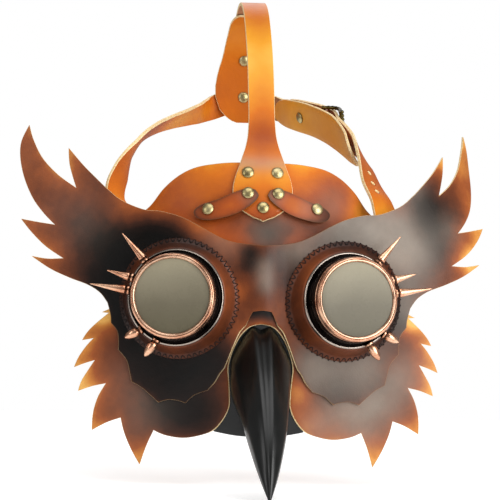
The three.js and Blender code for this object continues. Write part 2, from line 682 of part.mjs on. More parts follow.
// ---- Rear patch ----
const PATCH_LIFT = STRAP_LEATHER / 2 + 2.5 * GAP + LEATHER / 2;
const SIDE_STACK = 3.9;              // how far the outer side strap lies behind the head strap's line
const PATCH_FROM = 0.775;
const REAR_UPPER = 0.868;
const REAR_LOWER = 0.955;
const PATCH_HALF = [10, 12.5, 13.6, 15, 16.6, 18.4, 20, 21, 20.8, 17.5, 9];

function patchHalf(t) {
  const place = ((t - PATCH_FROM) / (1 - PATCH_FROM)) * (PATCH_HALF.length - 1);
  const index = Math.min(PATCH_HALF.length - 2, Math.max(0, Math.floor(place)));
  return THREE.MathUtils.lerp(PATCH_HALF[index], PATCH_HALF[index + 1], place - index);
}

// The way from the rear straps towards the wearer's head, standing on the patch's inner face.
function rearFrame(t) {
  const { at, outward } = routeFrame(headRoute(), t);
  return stackFrame(at.addScaledVector(outward, PATCH_LIFT + LEATHER / 2), outward);
}

function buildRearPatch() {
  const patch = ribbon(headRoute(), {
    from: PATCH_FROM,
    pieces: 20,
    across: 2,
    thickness: LEATHER,
    liftAt: () => PATCH_LIFT,
    halfAt: patchHalf,
  });
  const reach = PATCH_LIFT + LEATHER / 2 + STRAP_LEATHER / 2;
  add('rear_patch', drill(patch, [postHole(rearFrame(REAR_UPPER)), postHole(rearFrame(REAR_LOWER))]), TAN);
  addRivet('rivet_rear_upper', rearFrame(REAR_UPPER), reach, 2 * GAP);
  addRivet('rivet_rear_lower', rearFrame(REAR_LOWER), reach + SIDE_STACK);
}

// ---- Side straps and buckle ----
const BAR_T = 0.615;                 // the buckle's bar on the right route
const PAD_RIVET_T = 0.69;
const PAD_FROM = 0.385;
const PAD_TO = 0.82;
const PAD_HALF = 13;
const BAR_HALF = 1.2;
const FOLD_BORE = 2.1;
const FOLD_RADIUS = 3.6;
const FRAME_LENGTH = 20;
const FRAME_HALF = 12.2;
const FRAME_INNER = 9.5;
const FRAME_SIDE = 3.2;
const FRAME_ARCH = 4.5;
const TIP_LIFT = 3.3;
const PAD_LIFT = -(FOLD_RADIUS + GAP + LEATHER / 2 + 0.2);
const TAIL_LIFT = 4.6;
const OVER_BAR = 5.6;
const RISE_FROM = 0.076;             // where the billet rises to the bar and settles again, along the route
const RISE_TO = 0.012;
const SETTLE_FROM = 0.02;
const SETTLE_TO = 0.09;
const PRONG_HALF = 1.2;
const SLOT_HALF = 1.7;
const BILLET_TO = 0.835;
const BILLET_HOLES = [0.235, 0.275, 0.315];

// Local frame at the buckle: X towards the temple, Y across the strap, Z outward from the head.
function buckleFrame() {
  const { at, along, outward } = routeFrame(RIGHT_ROUTE, BAR_T);
  const towardTemple = along.clone().negate();
  const across = new THREE.Vector3().crossVectors(outward, towardTemple);
  const frame = new THREE.Group();
  frame.position.copy(at);
  frame.quaternion.setFromRotationMatrix(new THREE.Matrix4().makeBasis(towardTemple, across, outward));
  frame.updateMatrixWorld(true);
  return frame;
}

function boxSolid(low, high, frame) {
  const size = high.map((value, i) => value - low[i]);
  const box = new THREE.BoxGeometry(...size);
  box.translate(...high.map((value, i) => (value + low[i]) / 2));
  box.applyMatrix4(frame.matrixWorld);
  return toSolid(box);
}

function frameRise(x) {
  const place = THREE.MathUtils.clamp(x / (FRAME_LENGTH - FRAME_SIDE), 0, 1);
  return TIP_LIFT * place + FRAME_ARCH * Math.sin(Math.PI * place);
}

// An arched open rectangle; its near side is the bar that the chape folds round.
function frameGeometry() {
  const near = -BAR_HALF;
  const far = FRAME_LENGTH + FRAME_SIDE / 2;
  const steps = 8;
  const ring = (low, high, half) => {
    const up = Array.from({ length: steps + 1 }, (_, i) => [low + ((high - low) * i) / steps, -half]);
    const down = up.map(([x]) => [x, half]).reverse();
    return [...up, ...down].map(([x, y]) => new THREE.Vector2(x, y));
  };
  const shape = new THREE.Shape(ring(near, far, FRAME_HALF));
  shape.holes.push(new THREE.Path(ring(BAR_HALF, far - FRAME_SIDE, FRAME_INNER).reverse()));
  const geometry = new THREE.ExtrudeGeometry(shape, { depth: 2 * BAR_HALF, bevelEnabled: false });
  geometry.translate(0, 0, -BAR_HALF);
  return remap(geometry, (p) => { p.z += frameRise(p.x - BAR_HALF); });
}

// The prong's eye turns on the bar and its arm rests on the far side of the frame.
const PRONG_EYE = 3;
const PRONG_BORE = 2;
const PRONG_REACH = FRAME_LENGTH + 2.5;
const PRONG_ARM = [[2.9, 0.2], [8.2, 3.4], [14, 5.1], [PRONG_REACH, 5.1], [PRONG_REACH, 6.2], [14, 7.1],
  [7.4, 5.6], [1.6, 2.7]];

function prongGeometry() {
  const sides = 16;
  const eye = circlePoints(PRONG_EYE, sides).slice(sides / 4);
  const arm = PRONG_ARM.map(([x, y]) => new THREE.Vector2(x, y));
  const shape = new THREE.Shape([...eye, ...arm]);
  shape.holes.push(new THREE.Path(circlePoints(PRONG_BORE, sides).reverse()));
  const geometry = new THREE.ExtrudeGeometry(shape, { depth: 2 * PRONG_HALF, bevelEnabled: false });
  geometry.rotateX(Math.PI / 2);
  geometry.translate(0, PRONG_HALF, 0);
  return geometry;
}

// The billet runs under the frame's far side and then over the bar, and its tail lies on the chape.
function billetLift(t) {
  const rise = smooth(BAR_T - RISE_FROM, BAR_T - RISE_TO, t);
  const settle = smooth(BAR_T + SETTLE_FROM, BAR_T + SETTLE_TO, t);
  return OVER_BAR * rise - (OVER_BAR - TAIL_LIFT) * settle;
}

function padHalf(t) {
  const place = (t - PAD_FROM) / (PAD_TO - PAD_FROM);
  const ends = Math.sqrt(Math.max(0.02, 1 - (2 * place - 1) ** 6));
  return PAD_HALF * ends * (1 - 0.12 * place);
}

function padRivetFrame() {
  const { at, outward } = routeFrame(RIGHT_ROUTE, PAD_RIVET_T);
  const inward = outward.clone().negate();
  return stackFrame(at.addScaledVector(inward, -PAD_LIFT + LEATHER / 2), inward);
}

function foldSolid(frame) {
  const tube = lathe([[FOLD_BORE, -STRAP_HALF], [FOLD_RADIUS, -STRAP_HALF], [FOLD_RADIUS, STRAP_HALF],
    [FOLD_BORE, STRAP_HALF], [FOLD_BORE, -STRAP_HALF]], 16);
  tube.rotateX(Math.PI / 2);
  tube.applyMatrix4(frame.matrixWorld);
  return toSolid(tube);
}

function buildChape(frame) {
  const barGap = 0.009;
  const strap = ribbon(RIGHT_ROUTE, { from: BAR_T + barGap, pieces: 14, thickness: STRAP_LEATHER });
  const slot = boxSolid([-5, -SLOT_HALF - 0.3, -6], [6, SLOT_HALF + 0.3, 6], frame);
  const bore = new THREE.CylinderGeometry(FOLD_BORE, FOLD_BORE, 30, 16);
  bore.applyMatrix4(frame.matrixWorld);
  const solid = toSolid(strap).add(foldSolid(frame)).subtract(toSolid(bore)).subtract(slot)
    .subtract(postHole(padRivetFrame())).subtract(postHole(rearFrame(REAR_LOWER)));
  add('chape_strap', toGeometry(solid), TAN);
}

function buildSideStraps() {
  const frame = buckleFrame();
  const left = ribbon(LEFT_ROUTE, { pieces: 28, thickness: STRAP_LEATHER });
  add('side_strap_left', drill(left, [postHole(rearFrame(REAR_LOWER))]), TAN);

  buildChape(frame);

  const billet = ribbon(RIGHT_ROUTE, {
    to: BILLET_TO,
    pieces: 42,
    thickness: STRAP_LEATHER,
    liftAt: billetLift,
  });
  const holes = BILLET_HOLES.map((t) => {
    const { at, outward } = routeFrame(RIGHT_ROUTE, t);
    return postHole(stackFrame(at, outward));
  });
  const prongSlot = boxSolid([1.6, -SLOT_HALF, -3], [13.5, SLOT_HALF, 9], frame);
  add('billet_strap', drill(billet, [...holes, prongSlot]), TAN);

  const pad = ribbon(RIGHT_ROUTE, {
    from: PAD_FROM,
    to: PAD_TO,
    pieces: 22,
    across: 2,
    thickness: LEATHER,
    liftAt: () => PAD_LIFT,
    halfAt: padHalf,
  });
  add('buckle_pad', drill(pad, [postHole(padRivetFrame())]), TAN);
  addRivet('rivet_buckle_pad', padRivetFrame(), LEATHER / 2 - PAD_LIFT + STRAP_LEATHER / 2);

  add('buckle_frame', frameGeometry(), BRASS, frame);
  add('buckle_prong', prongGeometry(), BRASS, frame);
  group.add(frame);
}

buildPanels();
buildGoggle(-1, 'left');
buildGoggle(1, 'right');
buildBeak();
buildHeadStrap();
buildTabs();
buildBrowRivets();
buildRearPatch();
buildSideStraps();

export default group;
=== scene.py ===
import math

import bpy
import numpy as np
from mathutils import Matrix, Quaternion, Vector
from mathutils.geometry import delaunay_2d_cdt


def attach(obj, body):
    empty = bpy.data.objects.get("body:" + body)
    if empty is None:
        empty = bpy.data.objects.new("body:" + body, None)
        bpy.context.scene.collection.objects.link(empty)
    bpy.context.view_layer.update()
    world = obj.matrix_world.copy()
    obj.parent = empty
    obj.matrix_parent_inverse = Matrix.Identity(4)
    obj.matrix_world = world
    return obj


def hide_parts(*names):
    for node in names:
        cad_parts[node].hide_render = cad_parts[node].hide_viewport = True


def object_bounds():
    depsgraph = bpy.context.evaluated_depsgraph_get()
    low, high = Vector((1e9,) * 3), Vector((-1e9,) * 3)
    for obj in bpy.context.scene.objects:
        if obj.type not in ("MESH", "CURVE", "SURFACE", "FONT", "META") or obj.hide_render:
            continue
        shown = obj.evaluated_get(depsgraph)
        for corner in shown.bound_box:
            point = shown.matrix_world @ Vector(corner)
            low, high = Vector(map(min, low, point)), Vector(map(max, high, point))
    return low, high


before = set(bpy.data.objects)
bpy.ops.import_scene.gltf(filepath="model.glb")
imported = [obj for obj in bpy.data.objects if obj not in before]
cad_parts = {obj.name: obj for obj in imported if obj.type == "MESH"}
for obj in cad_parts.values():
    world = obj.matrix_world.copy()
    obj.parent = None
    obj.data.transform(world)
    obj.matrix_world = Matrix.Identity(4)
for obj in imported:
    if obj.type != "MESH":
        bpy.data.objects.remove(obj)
cad_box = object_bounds()

# The sizes below are in millimetres, as in the CAD source. Meshes are scaled by MM when they are made.
MM = 0.001

# ---- Driving dimensions ----
LEATHER = 1.8
STRAP_LEATHER = 2.4
GAP = 0.3
FACE_CURVE = 0.00175
BROW_LEAN, BROW_Z = 0.0012, 20
CHIN_LEAN, CHIN_Z = 0.0006, -20
CURL_START, CURL, CURL_LOW, CURL_HIGH = 80, 0.006, 15, 100
FOREHEAD_CURVE, FOREHEAD_LEAN, FOREHEAD_ROUND, FOREHEAD_Z = 0.0055, 0.25, 0.0015, 30
CHEEK_LAYER = LEATHER + GAP
FLANGE_LAYER = 2 * CHEEK_LAYER
RIDGE = 2.6                      # how far the nose bridge is moulded forward
RIPPLE = 0.45                    # unevenness of the hand-formed face

EYE_X, EYE_Z = 54.5, -2
EYE_SPLAY, EYE_PITCH = 12, 5
EYE_HOLE, EYE_HOLE_SHIFT = 29, 1  # radius of the hole, and how far outwards of the goggle's foot it sits
CONE_FOOT = 37.6
CONE_TOP = 32.3
CONE_HEIGHT = 10
FLANGE_RADIUS = 31.5
CUP_RADIUS = 28.4
CUP_TOP = 19.4
CUP_BORE = 23.4
CUP_FLANGE = 1.8
NECK_RADIUS = 24.9
NECK_TOP = 22.2
RING_RADIUS = 27.5
RING_BORE = 25.6
RING_LIP = 24.1
RING_BOTTOM = 19.8
RING_TOP = 26.6
LENS_RADIUS = 25.2
LENS_THICK = 1.6
GASKET_THICK = 0.6
SPIKE_AXIAL, SPIKE_LIFT = 15.8, 1.3

RIVET_RADIUS = 3.9
STRAP_HALF = 8.8
TEMPLE_X, TEMPLE_Z = 90, 41


# ---- Small tools ----
def smooth(low, high, value):
    t = np.clip((value - low) / (high - low), 0, 1)
    return t * t * (3 - 2 * t)


def above(value, limit):
    return np.maximum(0, value - limit)


def unit(v):
    v = np.asarray(v, float)
    return v / np.linalg.norm(v)


def hermite(start, end, leaving, arriving, t):
    """A cubic from start to end that has the given slopes at its ends."""
    cubed = (2 * start - 2 * end + leaving + arriving) * t ** 3
    squared = (-3 * start + 3 * end - 2 * leaving - arriving) * t ** 2
    return cubed + squared + leaving * t + start


def round_angles(sides):
    return 2 * math.pi * np.arange(sides) / sides


def ring_faces(rings, sides, closed=False):
    """Faces between rings of points that follow one another. Closed also joins the last ring to the first."""
    faces = []
    for here in range(rings if closed else rings - 1):
        following = (here + 1) % rings
        for s in range(sides):
            e = (s + 1) % sides
            faces.append((here * sides + s, here * sides + e, following * sides + e, following * sides + s))
    return faces


def end_caps(rings, sides):
    return [tuple(range(sides))[::-1], tuple((rings - 1) * sides + s for s in range(sides))]


def colour(code):
    """A linear colour from a hex code."""
    parts = [int(code[i:i + 2], 16) / 255 for i in (1, 3, 5)]
    linear = [c / 12.92 if c <= 0.04045 else ((c + 0.055) / 1.055) ** 2.4 for c in parts]
    return (*linear, 1)


def make_piece(name, points, faces, slots, face_slots=None, attributes=None, angle=40):
    """A mesh piece from points in millimetres. attributes are per-point numbers that the materials read."""
    mesh = bpy.data.meshes.new(name)
    mesh.from_pydata((np.asarray(points, float) * MM).tolist(), [], [list(map(int, f)) for f in faces])
    for material in slots:
        mesh.materials.append(material)
    if face_slots is not None:
        mesh.polygons.foreach_set("material_index", np.asarray(face_slots, np.int32))
    for key, values in (attributes or {}).items():
        layer = mesh.attributes.new(key, "FLOAT", "POINT")
        layer.data.foreach_set("value", np.asarray(values, np.float32))
    mesh.polygons.foreach_set("use_smooth", [True] * len(mesh.polygons))
    mesh.set_sharp_from_angle(angle=math.radians(angle))
    mesh.validate()
    piece = bpy.data.objects.new(name, mesh)
    bpy.context.scene.collection.objects.link(piece)
    return piece


def declare(piece, body, slot, *nodes):
    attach(piece, body)
    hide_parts(*nodes)
    return piece


# ---- Materials ----
class Shader:
    """A node material built from left to right around one Principled shader."""

    def __init__(self, name, **settings):
        self.material = bpy.data.materials.new(name)
        self.material.use_nodes = True
        self.nodes = self.material.node_tree.nodes
        self.links = self.material.node_tree.links
        self.bsdf = self.nodes["Principled BSDF"]
        for socket, value in settings.items():
            self.bsdf.inputs[socket.replace("_", " ")].default_value = value
        self.coordinates = self.nodes.new("ShaderNodeTexCoord").outputs["Object"]

    def node(self, kind, inputs=None, **properties):
        node = self.nodes.new(kind)
        for key, value in properties.items():
            setattr(node, key, value)
        for key, value in (inputs or {}).items():
            if isinstance(value, bpy.types.NodeSocket):
                self.links.new(value, node.inputs[key])
            else:
                node.inputs[key].default_value = value
        return node

    def attribute(self, name):
        return self.node("ShaderNodeAttribute", attribute_name=name).outputs["Fac"]

    def noise(self, scale, detail=3, stretch=None, distortion=0.0):
        vector = self.coordinates
        if stretch:
            vector = self.node("ShaderNodeMapping", {"Vector": vector, "Scale": stretch}).outputs[0]
        inputs = {"Vector": vector, "Scale": scale, "Detail": detail, "Distortion": distortion}
        return self.node("ShaderNodeTexNoise", inputs).outputs["Fac"]

    def math(self, operation, a, b, clamp=False):
        return self.node("ShaderNodeMath", {0: a, 1: b}, operation=operation, use_clamp=clamp).outputs[0]

    def remap(self, value, low, high, to_low, to_high):
        inputs = {"Value": value, "From Min": low, "From Max": high, "To Min": to_low, "To Max": to_high}
        return self.node("ShaderNodeMapRange", inputs).outputs[0]

    def ramp(self, value, stops):
        node = self.node("ShaderNodeValToRGB", {0: value})
        elements = node.color_ramp.elements
        while len(elements) < len(stops):
            elements.new(0.5)
        for element, (place, code) in zip(elements, stops):
            element.position = place
            element.color = colour(code)
        return node.outputs[0]

    def mix(self, share, a, b):
        """Two colours mixed by a share; 0, 6 and 7 are the Mix node's factor and its two colour inputs."""
        return self.node("ShaderNodeMix", {0: share, 6: a, 7: b}, data_type="RGBA").outputs[2]

    def bump(self, height, distance, below=None):
        inputs = {"Height": height, "Strength": 1.0, "Distance": distance}
        if below is not None:
            inputs["Normal"] = below
        return self.node("ShaderNodeBump", inputs).outputs[0]

    def use(self, **sockets):
        for name, value in sockets.items():
            self.links.new(value, self.bsdf.inputs[name.replace("_", " ")])
        return self.material


HIDE = [(0.0, "#060403"), (0.2, "#170c08"), (0.36, "#3b1f14"), (0.52, "#67341c"), (0.7, "#964e24"),
        (0.86, "#c47c36"), (1.0, "#e2aa58")]
TAN_HIDE = [(0.0, "#241713"), (0.22, "#5a2c18"), (0.42, "#a04a1c"), (0.6, "#cc6c18"), (0.78, "#e69a26"),
            (1.0, "#f8c85a")]


def leather(name, stops, blotch, rough):
    """Dyed leather.

    The dye attribute sets its tone, where a few spots on the face panels are painted shade; the attribute for
    painted sheen mixes in grey patches that stand in for reflected light; and the edge attribute is the
    distance to a cut edge, where it is worn lighter.
    """
    s = Shader(name, Coat_Weight=0.05, Coat_Roughness=0.26, Specular_IOR_Level=0.17)
    clouds = s.math("MULTIPLY", s.math("SUBTRACT", s.noise(26, 4, distortion=0.4), 0.5), blotch)
    flecks = s.math("MULTIPLY", s.math("SUBTRACT", s.noise(170, 5), 0.5), blotch * 0.35)
    tone = s.math("ADD", s.attribute("dye"), s.math("ADD", clouds, flecks), clamp=True)
    base = s.ramp(tone, stops)
    # painted sheen: grey patches of reflected light mixed into the colour, as strong as the sheen attribute
    patches = s.remap(s.noise(45, 4), 0.3, 0.7, 0.75, 1.1)
    sheen_share = s.math("MULTIPLY", s.attribute("painted_sheen"), patches, clamp=True)
    base = s.mix(sheen_share, base, colour("#9c9184"))
    ragged = s.remap(s.noise(300), 0, 1, -0.2, 0.2)
    worn = s.remap(s.math("ADD", s.attribute("edge"), ragged), 0.0, 0.4, 0.25, 0)
    base = s.mix(worn, base, colour("#a8703c"))
    creases = s.bump(s.noise(95, 4, distortion=0.8), 0.00022)
    pores = s.node("ShaderNodeTexVoronoi", {"Vector": s.coordinates, "Scale": 1300}, feature="SMOOTH_F1")
    grain = s.bump(pores.outputs[0], 0.00005, creases)
    fine = s.bump(s.noise(2600, 2), 0.00002, grain)
    gloss = s.remap(s.noise(40, 4), 0.3, 0.7, rough - 0.06, rough + 0.07)
    return s.use(Base_Color=base, Roughness=gloss, Normal=fine)


def cut_edge():
    """The pale cut through a hide; an attribute darkens it with painted shade where its edges lie in shadow.
    """
    s = Shader("cut_edge", Roughness=0.62, Specular_IOR_Level=0.25)
    layers = s.noise(900)
    base = s.ramp(layers, [(0.3, "#d8ad72"), (0.5, "#f3d9a4"), (0.75, "#fbe9c4")])
    # painted shade: the cut edge turns dark brown where the attribute for edge shade is high
    base = s.mix(s.attribute("painted_edge_shade"), base, colour("#2a1510"))
    return s.use(Base_Color=base, Normal=s.bump(layers, 0.00008))


def flesh_side():
    s = Shader("flesh_side", Roughness=0.8)
    nap = s.noise(420, 5)
    tone = s.math("ADD", s.math("MULTIPLY", nap, 0.5), s.math("MULTIPLY", s.noise(30), 0.5))
    base = s.ramp(tone, [(0.3, "#8a5a38"), (0.5, "#a8714a"), (0.7, "#bf8a5e")])
    return s.use(Base_Color=base, Normal=s.bump(nap, 0.00015))


def black_gloss():
    s = Shader("black_gloss", Coat_Weight=0.2, Coat_Roughness=0.18, Specular_IOR_Level=0.3)
    base = s.ramp(s.noise(60, 4), [(0.3, "#040504"), (0.7, "#0a0b0a")])
    gloss = s.remap(s.noise(120), 0.3, 0.7, 0.3, 0.38)
    ripple = s.bump(s.noise(40, 3), 0.00012)
    return s.use(Base_Color=base, Roughness=gloss, Normal=s.bump(s.noise(1500, 2), 0.00001, ripple))


def antique_metal(name, stops, rough, patina, rubbed_and_highlight):
    """Worn plated metal: the patina attribute darkens its grooves, and below zero it brightens its edges with
    rubbed metal and a painted highlight.
    """
    s = Shader(name, Metallic=1.0, Specular_IOR_Level=0.5)
    brushed = s.noise(500, 4, stretch=(1, 1, 6))
    cloudy = s.noise(90, 4)
    tone = s.math("ADD", s.math("MULTIPLY", brushed, 0.45), s.math("MULTIPLY", cloudy, 0.55))
    base = s.ramp(tone, stops)
    # below zero the patina mixes in the pale colour: rubbed metal and a painted highlight on the edges
    bright = s.math("MULTIPLY", s.attribute("patina"), -1, clamp=True)
    base = s.mix(bright, base, colour(rubbed_and_highlight))
    dark = s.math("MULTIPLY", s.attribute("patina"), 1, clamp=True)
    base = s.mix(dark, base, colour(patina))
    gloss = s.remap(cloudy, 0.3, 0.7, rough - 0.06, rough + 0.1)
    dents = s.bump(s.noise(240, 3), 0.00003)
    return s.use(Base_Color=base, Roughness=gloss, Normal=s.bump(brushed, 0.000008, dents))


def smoked_glass():
    """The lenses, paler towards their tops."""
    s = Shader("smoked_glass", Specular_IOR_Level=0.2)
    height = s.node("ShaderNodeSeparateXYZ", {0: s.coordinates}).outputs[2]
    rise = s.remap(height, -0.027, 0.027, 0, 1)
    hazy = s.math("ADD", rise, s.remap(s.noise(30, 2), 0.3, 0.7, -0.06, 0.06))
    base = s.ramp(hazy, [(0.0, "#55503f"), (0.4, "#666050"), (0.75, "#827b68"), (1.0, "#989079")])
    return s.use(Base_Color=base, Roughness=s.remap(s.noise(200), 0.3, 0.7, 0.26, 0.3))


def rubber():
    s = Shader("black_rubber", Roughness=0.75, Specular_IOR_Level=0.2)
    base = s.ramp(s.noise(300), [(0.3, "#0b0b0a"), (0.7, "#141413")])
    return s.use(Base_Color=base, Normal=s.bump(s.noise(900), 0.00003))


def thread():
    s = Shader("waxed_thread", Roughness=0.6, Specular_IOR_Level=0.2)
    twist = s.noise(1500, 2)
    base = s.ramp(twist, [(0.3, "#0b0605"), (0.7, "#1c100c")])
    return s.use(Base_Color=base, Normal=s.bump(twist, 0.00005))


WING = leather("wing_leather", HIDE, 0.36, 0.38)
CHEEK = leather("cheek_leather", HIDE, 0.32, 0.4)
CONE = leather("cone_leather", HIDE, 0.34, 0.34)
FOREHEAD = leather("forehead_leather", TAN_HIDE, 0.26, 0.38)
STRAP = leather("strap_leather", TAN_HIDE, 0.14, 0.36)
CUT = cut_edge()
FLESH = flesh_side()
BLACK = black_gloss()
# Each metal's last colour is its rubbed edge, shown where patina is below zero: worn metal and also a painted
# highlight.
COPPER = antique_metal("aged_copper", [(0.3, "#b06e50"), (0.5, "#dca585"), (0.7, "#f6d3b2")],
                       0.24, "#1c0d09", "#ffe6cc")
DARK = antique_metal("dark_bronze", [(0.3, "#17100e"), (0.6, "#2c211c"), (0.8, "#4a3a30")],
                     0.24, "#060505", "#d8cabd")
BRASS = antique_metal("antique_brass", [(0.3, "#86774c"), (0.5, "#b8a97a"), (0.7, "#ddd0a4")],
                      0.36, "#2c2410", "#f6ecc9")
OLD_BRASS = antique_metal("dark_brass", [(0.3, "#3a3216"), (0.5, "#6b5e30"), (0.75, "#b0a05c")],
                          0.3, "#100d06", "#cfc07a")
GLASS = smoked_glass()
RUBBER = rubber()
THREAD = thread()


# ---- The face's surfaces ----
def relief(x, z):
    """The moulded nose bridge and the slight unevenness that every layer of the face shares."""
    bridge = RIDGE * np.exp(-(x / 9.0) ** 2) * smooth(44, 22, z) * smooth(-24, -6, z)
    hollow = 0.9 * np.exp(-((np.abs(x) - 17) / 7.0) ** 2) * smooth(40, 20, z) * smooth(-40, -10, z)
    uneven = RIPPLE * (np.sin(x / 17 + 0.6) * np.sin(z / 23 + 1.1) + 0.6 * np.sin(x / 9.5 - z / 14))
    return hollow - bridge + uneven * smooth(30, 60, np.abs(x) + 0.4 * np.abs(z))


def face_depth(x, z):
    lean = BROW_LEAN * above(z, BROW_Z) ** 2 + CHIN_LEAN * above(CHIN_Z, z) ** 2
    return FACE_CURVE * x * x + lean + relief(x, z)


def plain_forehead(x, z):
    rise = above(z, FOREHEAD_Z)
    wrap = FACE_CURVE + (FOREHEAD_CURVE - FACE_CURVE) * smooth(10, 60, z)
    return CHEEK_LAYER + wrap * x * x + FOREHEAD_LEAN * rise + FOREHEAD_ROUND * rise * rise


def forehead_depth(x, z):
    return plain_forehead(x, z) + relief(x, z) * smooth(56, 40, z)


def curl_right_wing(points):
    """The right wing is bent back about an upright line, more so towards its upper feathers."""
    x, y, z = points.T.copy()
    bend = CURL * smooth(CURL_LOW, CURL_HIGH, z)
    moved = (x > CURL_START) & (bend > 1e-5)
    bend = np.where(moved, bend, 1)
    slope = math.atan(2 * FACE_CURVE * CURL_START)
    cos, sin = math.cos(slope), math.sin(slope)
    start = face_depth(CURL_START, z)
    along = (x - CURL_START) * cos + (y - start) * sin
    out = (y - start) * cos - (x - CURL_START) * sin
    turn = bend * along
    new_along = np.sin(turn) * (1 / bend - out)
    new_out = (1 - np.cos(turn)) / bend + out * np.cos(turn)
    curled_x = CURL_START + new_along * cos - new_out * sin
    curled_y = start + new_along * sin + new_out * cos
    return np.where(moved[:, None], np.stack([curled_x, curled_y, z], 1), points)


# ---- Outlines ----
def spline(points, per_span):
    """A uniform Catmull-Rom curve through the points, with its ends held."""
    p = np.asarray(points, float)
    if len(p) == 2:
        return p[0] + (p[1] - p[0]) * np.linspace(0, 1, per_span + 1)[:, None]
    padded = np.vstack([p[0], p, p[-1]])
    rows = []
    for i in range(len(p) - 1):
        before, start, end, after = padded[i:i + 4]
        for t in np.arange(per_span) / per_span:
            rows.append(hermite(start, end, (end - before) / 2, (after - start) / 2, t))
    rows.append(p[-1])
    return np.array(rows)


def outline(edges, per_span=7):
    """A loop of curved edges that meet in corners."""
    return np.vstack([spline(edge, per_span)[:-1] for edge in edges])


def symmetric(half_edges):
    """The loop of a right half outline and its mirror image."""
    right = np.vstack([outline(half_edges), half_edges[-1][-1]])
    left = right[1:-1][::-1] * [-1, 1]
    return np.vstack([right, left])


CORNER_TURN = 0.5                # radians between two spans that make a corner


def spaced(loop, step):
    """The loop with its points about a step apart; its corners stay."""
    kept = [loop[0]]
    previous = loop[0]
    count = len(loop)
    for i in range(1, count):
        before, here, after = loop[i - 1], loop[i], loop[(i + 1) % count]
        turn = abs(math.atan2(np.cross(here - before, after - here), np.dot(here - before, after - here)))
        if turn > CORNER_TURN or np.linalg.norm(here - previous) >= step:
            kept.append(here)
            previous = here
    return np.array(kept)


def counter_clockwise(loop):
    x, z = loop.T
    area = np.sum(x * np.roll(z, -1) - z * np.roll(x, -1))
    return loop if area > 0 else loop[::-1]


def inside(points, loop):
    """Which points a loop holds, from how often a level ray meets it."""
    x, z = points[:, 0][:, None], points[:, 1][:, None]
    x0, z0 = loop[:, 0][None], loop[:, 1][None]
    x1, z1 = np.roll(x0, -1, 1), np.roll(z0, -1, 1)
    crosses = (z0 > z) != (z1 > z)
    at = x0 + (z - z0) / np.where(z1 == z0, 1e-9, z1 - z0) * (x1 - x0)
    return (crosses & (x < at)).sum(1) % 2 == 1


def distance_to(points, loop):
    best = np.full(len(points), 1e9)
    for p, q in zip(loop, np.roll(loop, -1, 0)):
        d = q - p
        t = np.clip((points - p) @ d / max(d @ d, 1e-12), 0, 1)
        best = np.minimum(best, np.linalg.norm(points - (p + t[:, None] * d), axis=1))
    return best


def circle(radius, sides, x=0.0, z=0.0):
    angle = round_angles(sides)
    return np.stack([x + radius * np.cos(angle), z + radius * np.sin(angle)], 1)


WING_HALF = [
    [[0, 33.5], [14, 34.5], [24, 36.5], [34, 41], [45, 47], [55, 51.5], [67, 54.5], [78, 55.5],
     [92, 61], [101, 68], [109, 75.5], [118, 84.5], [127.5, 95.5]],
    [[127.5, 95.5], [126.5, 84], [122, 69]],
    [[122, 69], [134, 77.5], [144.5, 88.5], [151, 101], [154, 111]],
    [[154, 111], [159, 100], [159.5, 89], [156.5, 75.5], [150.5, 62], [143, 52], [135.5, 44.5]],
    [[135.5, 44.5], [146, 46], [158, 48]],
    [[158, 48], [150.5, 39], [141, 30], [129.5, 22.5]],
    [[129.5, 22.5], [140, 22], [150.5, 23.5]],
    [[150.5, 23.5], [138, 15.5], [125, 9.8], [113, 5.5], [105, 0.5], [100, -6]],
    [[100, -6], [98, -13.5], [97.5, -19]],
    [[97.5, -19], [93.5, -24], [92.5, -30], [92.5, -36.5]],
    [[92.5, -36.5], [87, -43], [85, -50], [83.5, -57]],
    [[83.5, -57], [77, -60.5], [71.5, -65], [66, -70]],
    [[66, -70], [59.5, -68], [53, -68.5], [48.5, -70]],
    [[48.5, -70], [42.5, -64.5], [34.5, -61.5]],
    [[34.5, -61.5], [30, -56], [27, -50.5], [24, -46.5]],
    [[24, -46.5], [21.5, -40], [18.5, -32], [14.5, -23], [10.5, -18.5]],
    [[10.5, -18.5], [7.5, -12], [6, -9.5]],
    [[6, -9.5], [0, -8.5]],
]

CHEEK_HALF = [
    [[0, 4], [20, 6], [40, 8], [60, 9], [82, 6]],
    [[82, 6], [92, -4], [97, -9], [103.5, -12.3]],
    [[103.5, -12.3], [99, -12.6]],
    [[99, -12.6], [108, -20.5], [113, -26], [116, -31]],
    [[116, -31], [108.5, -29.4]],
    [[108.5, -29.4], [113, -34.5], [118, -42], [121, -49]],
    [[121, -49], [114, -46], [107.5, -43.8]],
    [[107.5, -43.8], [112, -51], [116, -58], [118, -64.5]],
    [[118, -64.5], [109, -61], [100, -58.8]],
    [[100, -58.8], [105, -68], [108, -79], [108.5, -90]],
    [[108.5, -90], [99, -84.5], [90, -81]],
    [[90, -81], [87.5, -90.5], [83, -101], [77, -111.5]],
    [[77, -111.5], [73, -99], [68.5, -88.5]],
    [[68.5, -88.5], [61, -91.5], [50, -93], [40, -91.5], [31, -88], [24.5, -81], [20.5, -72.5], [20.2, -64],
     [21, -54], [21.5, -46], [19.5, -37.5], [16, -29], [12, -23], [7, -19], [0, -17.5]],
]

FOREHEAD_HALF = [
    [[0, 88], [18, 88], [30, 87], [43, 84.5], [54, 79], [64, 70], [73, 58], [84, 50], [96, 45]],
    [[96, 45], [100, 34], [92, 29]],
    [[92, 29], [70, 38], [45, 39], [22, 30], [0, 22]],
]

FLANGE_HALF = [
    [[0, -6], [12, -9], [20, -20], [27, -38], [29, -58], [29, -88]],
    [[29, -88], [14, -90.5], [0, -91]],
]

TAB_RIGHT = [
    [[3, 66.5], [5.5, 70], [11, 70.5], [19, 68], [30, 63], [40, 59.5], [44.8, 55.2], [43, 51], [36.5, 49.5],
     [27.5, 51], [17, 54.5], [9, 59.5], [4.5, 63.5]],
    [[4.5, 63.5], [3, 66.5]],
]

